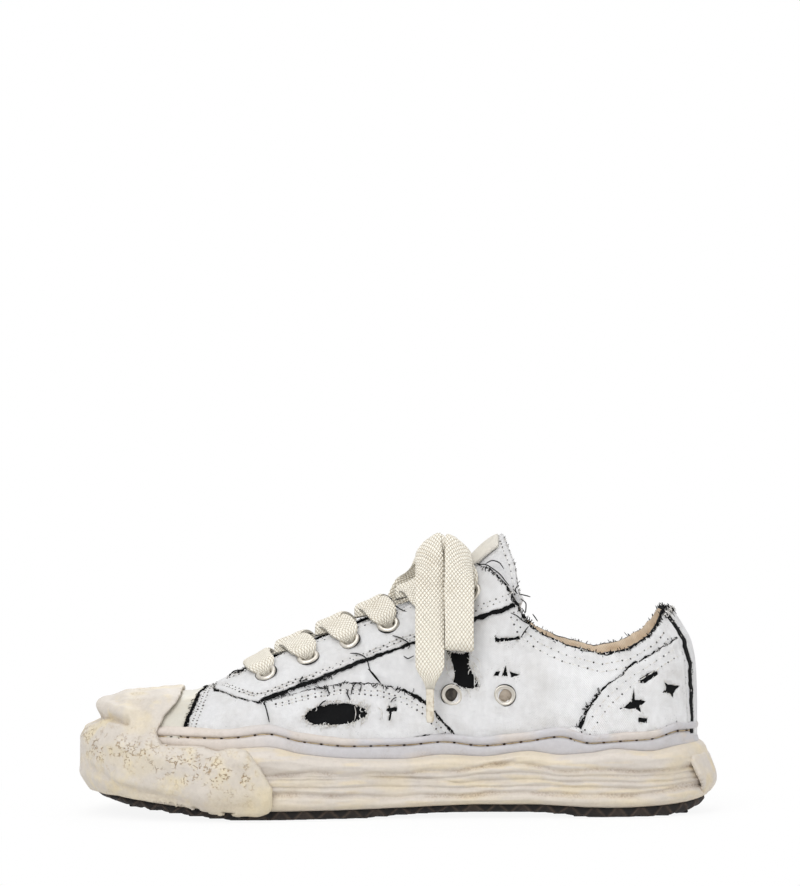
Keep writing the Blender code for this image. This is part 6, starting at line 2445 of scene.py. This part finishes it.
@dataclass
class Laces:
    """The wide braided laces: the crossings through the eyelets, the knot, and the big bow."""

    finish: Material
    tip: Material
    creases: Creases
    width: float = 13.5 * MM
    depth: float = 2.2 * MM
    crown: float = 0.0209
    arch: float = 48.0
    dip: float = 0.11
    dip_share: float = 0.45
    lift = Table("share straight under over", ((0.0, 4.6, 4.6, 4.6), (0.45, 3.6, 4.4, 4.8),
                                               (0.77, 4.0, 3.6, 5.4), (1.0, 4.6, 1.0, 1.0)))
    knot: tuple[float, float, float] = (0.0166, 0.0020, 0.1268)
    knot_turns = ((0.15, 8.0, 6.0, 11.5, 0.0), (1.1, 8.6, 4.6, 9.0, 0.8), (-0.9, 8.2, 4.4, 9.0, -0.8))
    loop: Route = (
        (0.0280, -0.0112, 0.1275), (0.0286, -0.0130, 0.1325), (0.0290, -0.0180, 0.1334),
        (0.0290, -0.0240, 0.1280), (0.0290, -0.0290, 0.1170), (0.0290, -0.0325, 0.1050),
        (0.0290, -0.0370, 0.0920), (0.0290, -0.0400, 0.0830), (0.0290, -0.0385, 0.0802),
        (0.0290, -0.0355, 0.0825), (0.0290, -0.0330, 0.0900), (0.0290, -0.0285, 0.1030),
        (0.0290, -0.0250, 0.1140), (0.0290, -0.0210, 0.1220), (0.0290, -0.0180, 0.1270),
        (0.0290, -0.0150, 0.1262),
    )
    end: Route = (
        (0.0140, -0.0108, 0.1265), (0.0142, -0.0122, 0.1318), (0.0145, -0.0165, 0.1334),
        (0.0146, -0.0215, 0.1285), (0.0150, -0.0255, 0.1180), (0.0150, -0.0290, 0.1060),
        (0.0150, -0.0330, 0.0940), (0.0150, -0.0375, 0.0820), (0.0150, -0.0410, 0.0710),
        (0.0150, -0.0432, 0.0612),
    )
    outer_end: Route = (
        (0.0150, 0.0155, 0.1262), (0.0155, 0.0172, 0.1300), (0.0150, 0.0215, 0.1296),
        (0.0126, 0.0262, 0.1225), (0.0080, 0.0305, 0.1130), (0.0028, 0.0345, 0.1040),
        (-0.001, 0.0390, 0.0920), (-0.0035, 0.0445, 0.0800), (-0.0040, 0.0485, 0.0690),
        (-0.0045, 0.0510, 0.0600),
    )
    outer_reach: float = 1.14
    outer_shift: tuple[float, float, float] = (0.0018, 0.0040, 0.0)
    aglet: tuple[float, float, float] = (0.0156, 0.0038, 0.0030)

    def band(self, name: str, start: Array, end: Array, kind: str, bow: float = 0.0,
             both: bool = False) -> Piece:
        """A lace from an eyelet over the throat.

        Args:
            name: The piece's name.
            start: (s, t) of its eyelet.
            end: (s, t) of its other end.
            kind: The column of lifts.
            bow: How far its middle bows towards the toe, in s.
            both: Whether its other end goes into an eyelet too.

        Returns:
            The piece.
        """
        share = np.linspace(0, 1, 60)
        s = start[0] + (end[0] - start[0]) * share - bow * np.sin(math.pi * share)
        t = start[1] + (end[1] - start[1]) * share
        flat = LAST.unroll(s, t)
        rise = self.lift.at(kind, share) * MM
        near = 1 - ease(share, 0.0, 0.12)
        if both:
            near = np.maximum(near, ease(share, 0.88, 1.0))
        rise = rise - near**2 * 5.6 * MM + self.creases.at(flat) * (1 - near)
        line, normal = LAST.points(s, t, rise)
        ahead = unit(np.gradient(line, axis=0))
        across = unit(np.cross(normal, ahead))
        out = np.cross(ahead, across)
        gone = run(line)
        near = np.minimum(gone, gone[-1] - gone) if both else gone
        pinch = 1 - np.sqrt(1 - (1 - np.clip((near - 3.6 * MM) / (8.5 * MM), 0, 1)) ** 2)
        wave = HEAVE.at(line, 12)
        width = 1.04 * self.width * (1 - 0.68 * pinch) * (1 + 0.05 * wave)
        depth = self.depth * (1.35 + 0.35 * pinch)
        if not both:
            depth = depth * (1 - 0.5 * ease(share, 0.85, 1.0))
        return sweep(name, line, across, out, width, depth, [self.finish])

    def crossings(self) -> None:
        """The first bar and the crossings between the eyelets."""
        inner = [np.array(LAST.locate(x, z, MEDIAL)) for x, z in Hardware.eyelets]
        outer = [np.array(LAST.locate(x, z, LATERAL)) for x, z in Hardware.eyelets]
        first = self.band("lace_1", inner[0], outer[0], "straight", 0.012, both=True)
        hold([first], ["lace_bar_1"])
        for k in range(1, len(inner)):
            dip = inner[k - 1][0] + (inner[k][0] - inner[k - 1][0]) * self.dip_share
            under = self.band(f"lace_{k + 1}_inner", inner[k], np.array([dip, self.dip]), "under")
            over = self.band(f"lace_{k + 1}_outer", outer[k], np.array([dip, -self.dip]), "over")
            hold([under, over], [f"lace_crossing_{k + 1}"])

    def hanging(self, name: str, route: Route, loop: bool) -> tuple[Piece, Array]:
        """One hanging band of the bow.

        Args:
            name: The piece's name.
            route: The places that it hangs through.
            loop: Whether both its ends are in the knot.

        Returns:
            The piece and its middle line.
        """
        line = resample(np.array(route), 72)
        share = np.linspace(0, 1, len(line))
        wave = HEAVE.at(line, 16, 2, 2.0)
        line = line + np.array([0.0, 1.0, 0.0]) * (wave * 0.5 * MM * np.sin(math.pi * share))[:, None]
        ahead = unit(np.gradient(line, axis=0))
        front = np.array([1.0, 0.0, 0.0])
        across = unit(front - ahead * (ahead @ front)[:, None])
        out = np.cross(ahead, across)
        top = hump(share - 0.07, 0.13) if loop else hump(share - 0.11, 0.18)
        tilt = HEAVE.at(line, 30, 1, 9.0) * 0.12 + top * (-0.12 if loop else 0.12)
        across = unit(across + out * tilt[:, None])
        out = np.cross(ahead, across)
        pinch = np.maximum(1 - ease(share, 0.0, 0.14), ease(share, 0.88, 1.0) * (1.0 if loop else 0.0))
        width = 1.06 * self.width * (1 - 0.30 * np.maximum(pinch, 0.4 * top)) * (1 + 0.04 * wave)
        depth = self.depth * (1.1 + 0.5 * pinch)
        if not loop:
            last = ease(share, 0.86, 1.0)
            width = width * (1 - 0.70 * last)
            depth = depth * (1 + 0.25 * last)
        piece = sweep(name, line, across, out, width, depth, [self.finish])
        place(piece, self.arched(coordinates(piece)))
        return piece, line

    def arched(self, points: Array) -> Array:
        """Points of the bow, drawn down towards its ends so that its top is a round arch."""
        off = points[:, 0] - self.crown
        drop = self.arch * off**2 * ease(points[:, 2], 0.110, 0.134)
        return np.column_stack([points[:, :2], points[:, 2] - drop])

    def bow(self) -> None:
        """The knot, and the loops and ends that hang from it."""
        dx, dy, dz = self.outer_shift
        outer_loop = [(x + dx, dy - y * self.outer_reach, z + dz) for x, y, z in self.loop]
        for side, loop, end in (("medial", self.loop, self.end), ("lateral", outer_loop, self.outer_end)):
            piece, line = self.hanging(f"bow_loop_{side}", loop, True)
            hold([piece], [f"lace_loop_{side}"])
            long = float(run(line)[-1])
            tuple(line[0])
            piece, line = self.hanging(f"bow_end_{side}", end, False)
            hold([piece], [f"lace_end_{side}"])
            tip = self.aglet_piece(f"bow_aglet_{side}", line)
            hold([tip], [f"aglet_{side}"])
            long = float(run(line)[-1])
            tuple(line[0])
        hold([self.knot_piece()], ["lace_knot"])

    def aglet_piece(self, name: str, line: Array) -> Piece:
        """The stiff wrapped tip of a lace, crimped along its length.

        Args:
            name: The piece's name.
            line: The middle line of the lace.

        Returns:
            The piece.
        """
        long, wide, deep = self.aglet
        down = unit(line[-1] - line[-3])
        share = np.linspace(0, 1, 40)
        path = line[-1] + down * (share[:, None] * (long + 1.5 * MM) - 1.5 * MM)
        across = np.broadcast_to(unit(np.array([1.0, 0, 0]) - down * down[0]), path.shape)
        shape = 1 + 0.05 * np.sin(share * 60) - 0.25 * ease(share, 0.9, 1.0) - 0.1 * (1 - ease(share, 0, 0.1))
        return sweep(name, path, across, np.cross(np.broadcast_to(down, path.shape), across), wide * shape,
                     deep * shape, [self.tip])

    def knot_piece(self) -> Piece:
        """The knot, three turns of the band drawn tight round each other."""
        middle, turns, turn = np.array(self.knot), [], np.linspace(0, 2 * math.pi, 49)[:-1]
        for number, (tilt, reach, high, wide, shift) in enumerate(self.knot_turns):
            axis = np.array([math.cos(tilt), math.sin(tilt), 0.0])
            side = np.array([-math.sin(tilt), math.cos(tilt), 0.0])
            line = (middle + axis * shift * MM + side * (np.cos(turn) * reach * MM)[:, None]
                    + np.array([0, 0, 1.0]) * (np.sin(turn) * high * MM)[:, None])
            ahead = unit(np.roll(line, -1, axis=0) - np.roll(line, 1, axis=0))
            across = np.broadcast_to(axis, line.shape)
            turns.append(sweep(f"bow_knot_{number}", line, across, np.cross(ahead, across),
                               np.full(48, wide * MM), np.full(48, 2.4 * MM), [self.finish]))
        knot = joined(turns)
        knot.name = "bow_knot"
        place(knot, self.arched(coordinates(knot)))
        return knot


# ---------------------------------------------------------------- scene
class Lamp(Enum):
    """The soft lamps, as place, width and power."""

    FRONT = ((-0.7, -1.5, 1.3), 1.2, 15.0)
    TOP = ((-0.2, -0.3, 1.7), 1.5, 9.0)
    RIGHT = ((1.4, -0.7, 0.8), 1.1, 4.0)
    BACK = ((0.1, 1.3, 1.0), 1.2, 6.0)


@dataclass
class Studio:
    """The camera, the pale floor, the white surroundings and the soft lamps."""

    eye: tuple[float, float, float] = (0.0007, -1.70, 0.1784)
    lens: float = 141.7
    ambient: float = 0.54

    def camera(self) -> None:
        """The camera, level and square to the inner side."""
        data = bpy.data.cameras.new("camera")
        data.lens, data.sensor_width, data.sensor_fit = self.lens, 36.0, "AUTO"
        made = linked("camera", data)
        made.location, made.rotation_euler = self.eye, (math.pi / 2, 0, 0)
        bpy.context.scene.camera = made

    def world(self) -> None:
        """A plain white background for the camera, glossy and glass rays, and a softer light."""
        world = bpy.data.worlds.new("studio")
        bpy.context.scene.world = world
        world.use_nodes = True
        nodes = Nodes(world.node_tree)
        nodes.tree.nodes.clear()
        light = nodes.seen() * (1 - self.ambient) + self.ambient
        sky = nodes.node("ShaderNodeBackground", None, {"Color": (1.0, 1.0, 1.0), "Strength": light})
        nodes.node("ShaderNodeOutputWorld", None, {0: sky.outputs[0]})

    def floor(self) -> None:
        """The floor, which ends behind the shoe below the camera's view."""
        bpy.ops.object.select_all(action="DESELECT")
        bpy.ops.mesh.primitive_plane_add(size=8.0, location=(0, 0, 0))
        made = bpy.context.object
        made.name = "floor"
        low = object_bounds()[0][2]
        points = coordinates(made)
        points[:, 2] = low
        place(made, points)
        made.data.materials.append(Floor("pale floor").made())
        made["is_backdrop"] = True

    def lamps(self) -> None:
        """Large soft lamps."""
        for lamp in Lamp:
            where, size, power = lamp.value
            data = bpy.data.lights.new(lamp.name.lower(), "AREA")
            data.shape, data.size, data.energy = "DISK", size, power
            made = linked(lamp.name.lower(), data)
            made.location = where
            made.rotation_euler = (Vector((0, 0, 0.05)) - Vector(where)).to_track_quat("-Z", "Y").to_euler()

    def made(self) -> None:
        """Makes all of it."""
        bpy.context.scene.view_settings.view_transform = "Standard"
        self.camera()
        self.world()
        self.floor()
        self.lamps()


CREASES = (
    (MEDIAL, ((-52, 40), (-40, 47), (-30, 50)), 3.0, 0.7),
    (MEDIAL, ((-39, 79), (-35, 75), (-31, 69)), 2.0, 0.8),
    (MEDIAL, ((-20, 84), (-18, 81), (-13, 75)), 1.8, 0.7),
    (MEDIAL, ((-58, 72), (-57, 67), (-56, 62)), 2.0, 0.6),
    (MEDIAL, ((-76, 66), (-73, 62), (-69, 57)), 2.2, 0.5),
    (MEDIAL, ((0, 93), (4, 88), (9, 84)), 2.0, 0.7),
    (MEDIAL, ((40, 113), (44, 106), (50, 101)), 2.2, 0.6),
    (MEDIAL, ((-10, 73), (-2, 70), (9, 66)), 2.4, 1.1),
    (MEDIAL, ((-14, 69), (-6, 66.5), (3, 64)), 1.8, -0.7),
    (MEDIAL, ((-26, 66), (-20, 68), (-12, 71)), 2.0, 0.6),
    (MEDIAL, ((-34, 60), (-35, 56), (-33, 53)), 1.4, 0.5),
    (MEDIAL, ((-26, 62), (-24, 58), (-25, 54)), 1.4, 0.5),
    (MEDIAL, ((-16, 61), (-12, 57), (-12, 52)), 1.6, 0.5),
    (MEDIAL, ((-52, 44), (-44, 42.5), (-34, 42)), 2.0, 0.5),
    (MEDIAL, ((-12, 47), (-4, 43), (8, 42)), 2.5, 0.5),
    (MEDIAL, ((36, 60), (41, 66), (42, 74)), 2.5, 0.6),
    (MEDIAL, ((40, 92), (48, 90), (57, 86)), 2.2, 0.6),
    (MEDIAL, ((40, 80), (50, 81), (60, 79)), 2.4, 0.6),
    (MEDIAL, ((54, 73.5), (62, 75), (70, 76)), 2.4, 0.8),
    (MEDIAL, ((62, 84), (72, 78), (84, 74)), 3.0, 0.6),
    (MEDIAL, ((60, 48), (68, 55), (80, 60)), 3.0, 0.5),
    (MEDIAL, ((88, 70), (98, 72), (108, 76)), 2.5, 0.5),
    (MEDIAL, ((104, 60), (112, 58), (120, 60)), 2.0, 0.5),
    (MEDIAL, ((110, 48), (118, 51), (126, 50)), 2.0, 0.6),
    (MEDIAL, ((124, 70), (130, 66), (137, 66)), 2.0, 0.5),
    (MEDIAL, ((118, 77), (126, 79), (134, 80)), 1.6, 0.5),
    (LATERAL, ((-55, 60), (-40, 64), (-25, 62)), 3.0, 0.9),
    (LATERAL, ((-46, 50), (-34, 54), (-20, 50)), 2.5, 0.7),
    (LATERAL, ((-18, 76), (-4, 72), (12, 74)), 3.0, 0.9),
    (LATERAL, ((-6, 58), (10, 62), (28, 60)), 3.0, 0.7),
    (LATERAL, ((36, 90), (50, 86), (64, 78)), 3.0, 0.8),
    (LATERAL, ((60, 60), (78, 64), (92, 72)), 3.0, 0.7),
    (LATERAL, ((100, 52), (114, 56), (128, 52)), 2.5, 0.7),
    (LATERAL, ((-76, 66), (-72, 60), (-70, 55)), 2.2, 0.5),
    (LATERAL, ((-39, 79), (-35, 74), (-32, 69)), 2.0, 0.7),
    (LATERAL, ((0, 93), (4, 88), (8, 83)), 2.0, 0.6),
)

BLACK_THREADS = (
    ((-81, 71), (-79, 72.5), (-77, 71.5)),
    ((-64.9, 75.5), (-63, 77.5), (-60.6, 77.4)),
    ((-47, 82.3), (-44, 84.5), (-40.8, 84.1)),
    ((-23.0, 75.9), (-18.7, 75.6), (-15.0, 72.7), (-14.4, 70.6), (-13.8, 68.2), (-11.3, 65.1), (-8.6, 62.7)),
    ((-2.5, 84.5), (1.5, 83.1), (4.9, 81.3), (5.8, 79.9), (4.8, 78.4)),
    ((2.7, 75.1), (4.8, 73.9), (7.6, 75.4)),
    ((-45.8, 65.3), (-46.7, 63.3), (-46.3, 61.0)),
    ((-46.1, 63.3), (-43.0, 63.6)),
    ((-40.0, 61.0), (-36.9, 59.8), (-34.5, 60.0), (-33.0, 57.4)),
    ((-24.1, 60.3), (-24.7, 58.0), (-23.3, 55.2)),
    ((-22.9, 57.6), (-22.3, 60.3), (-19.9, 62.4), (-18.0, 61.6), (-18.7, 58.9)),
    ((-38.3, 51.8), (-36.3, 53.8), (-34.1, 55.1)),
    ((-14.7, 69.1), (-11, 65.4), (-8.3, 62.3)),
    ((-63.7, 53.8), (-62.3, 49), (-61.3, 45.0)),
    ((58.7, 85.1), (60.4, 87.6), (62.3, 90.3)),
    ((53.1, 83.6), (57.0, 84.3)),
    ((-3.9, 54.2), (-2.6, 55.6), (-1.0, 56.6)),
    ((-30.2, 91.5), (-24, 91.8), (-22.7, 90), (-19.5, 86.9)),
    ((-29.9, 91.1), (-26.9, 94.1), (-22.5, 95.9)),
    ((-23.4, 90.3), (-21.3, 88.7), (-19, 87.1)),
    ((-9, 101), (-6, 102.5), (-3, 101), (-2, 98.4), (-5, 97.5), (-8, 99)),
    ((-10.3, 98.7), (-8, 103.5), (-4.5, 103), (-2.6, 99.5), (0.5, 97), (4.5, 95.5)),
    ((-1.2, 96), (-0.8, 93), (-1.5, 89.5)),
    ((37.8, 118.4), (42.6, 118.5), (47, 116.2), (49.9, 113.8), (51.8, 111.4), (53.7, 109.1)),
    ((43.1, 119), (46.6, 120.3), (49.5, 119.4), (51.4, 116.8)),
    ((55.6, 107.6), (57.6, 105.2), (56.6, 107.1), (58.1, 109.6)),
    ((58.5, 105.2), (63.4, 104)),
    ((59, 103.3), (61.4, 100.4), (60.9, 96.5), (59.4, 98.9)),
    ((54.1, 96.5), (57, 95.1), (59.9, 92.7), (62.8, 91.2)),
    ((64.3, 96.1), (66.7, 92.7)),
)

WHITE_THREADS = (
    ((-21.2, 52.3), (-20.7, 49.1), (-21.3, 45.8)),
    ((34.1, 74.1), (36.5, 69.3), (38.4, 64.4)),
    ((33.0, 75.0), (37.6, 70.8), (39.6, 66.6)),
    ((25.2, 76.5), (23.0, 71.0), (24.4, 66.2)),
    ((35.0, 76.0), (39.0, 73.4), (39.4, 70.0)),
    ((-10.2, 52.0), (-8.0, 49.5), (-9.0, 46.2)),
)


def main() -> None:
    """Dresses the shoe, piece by piece."""
    logging.basicConfig(level=logging.INFO, format="%(message)s")
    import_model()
    bpy.ops.object.select_all(action="DESELECT")
    Studio().made()

    creases = Creases(CREASES)
    white = Canvas("white canvas", tint(240, 240, 241), tint(186, 180, 172)).made()
    black = Canvas("black canvas", tint(2, 3, 5), tint(13, 13, 15), dirt=0.2, sheen=0.0, specks=0.0).made()
    lining = Canvas("beige lining", tint(244, 226, 202), tint(204, 176, 144), 0.9 * MM, specks=0.0).made()
    lace = Braid("ecru lace", tint(252, 247, 234), tint(176, 154, 116)).made()
    tip = Yarn("wrapped aglet", tint(219, 212, 197), tint(192, 180, 160), 0.5).made()
    nickel = Metal("nickel eyelet", tint(196, 191, 182), tint(104, 90, 76)).made()
    pale = Yarn("white yarn", tint(238, 237, 235), tint(205, 200, 192)).made()
    dark = Yarn("black yarn", tint(6, 7, 9), tint(16, 16, 18)).made()

    laces = Laces(lace, tip, creases)
    laces.bow()
    laces.crossings()

    sole = Sole()
    for make in (sole.midsole, sole.foxing, sole.bumper, sole.plate, sole.tread):
        make()

    pinhole = Yarn("grey needle hole", tint(62, 60, 58), tint(96, 93, 89)).made()
    needle = Needlework(pale, pinhole, creases)
    fringe = Fringe(dark, pale, creases)
    tape = Canvas("cream tape", tint(236, 231, 220), tint(190, 180, 162), 0.5 * MM, 0.3, 0.4,
                  specks=0.0).made()
    upper = Upper(Pattern(), creases, white, black, lining, tape, needle, fringe)
    hold(upper.shell(), ["upper"])
    hold(upper.quarters(), ())
    hold(upper.vamp(), ["vamp"])
    hold(upper.eyestay(), ["eyestay"])
    hold(upper.counters(), ["counter_medial", "counter_lateral"])
    hold(upper.back_strip(), ["back_strip"])
    hold(upper.toe_cap(), ["toe_cap"])
    tongue, label = upper.tongue()
    hold([tongue], ["tongue"])
    hold([label], ["tongue_label"])
    # Colours of the discs in the two vent holes: painted shade of their insides.
    hole_shades = [Yarn("dark vent mesh", tint(58, 55, 52), tint(84, 79, 73)).made(),
            Yarn("pale vent mesh", tint(172, 160, 146), tint(146, 134, 120)).made()]
    Hardware(nickel, hole_shades, fringe.loose, needle.lay).made()

    for corners in BLACK_THREADS:
        fringe.thread(corners, MEDIAL)
    for corners in WHITE_THREADS:
        fringe.thread(corners, MEDIAL, 1.9, 0.25, 0.5, True)
    hold([needle.stitches.made(), fringe.pale.made()], ())
    hold([needle.holes.made(), fringe.dark.made(), fringe.loose.made()], ())

    insole = bpy.data.objects["insole"]
    for slot in insole.material_slots:
        slot.material = lining


if __name__ == "__main__":
    main()
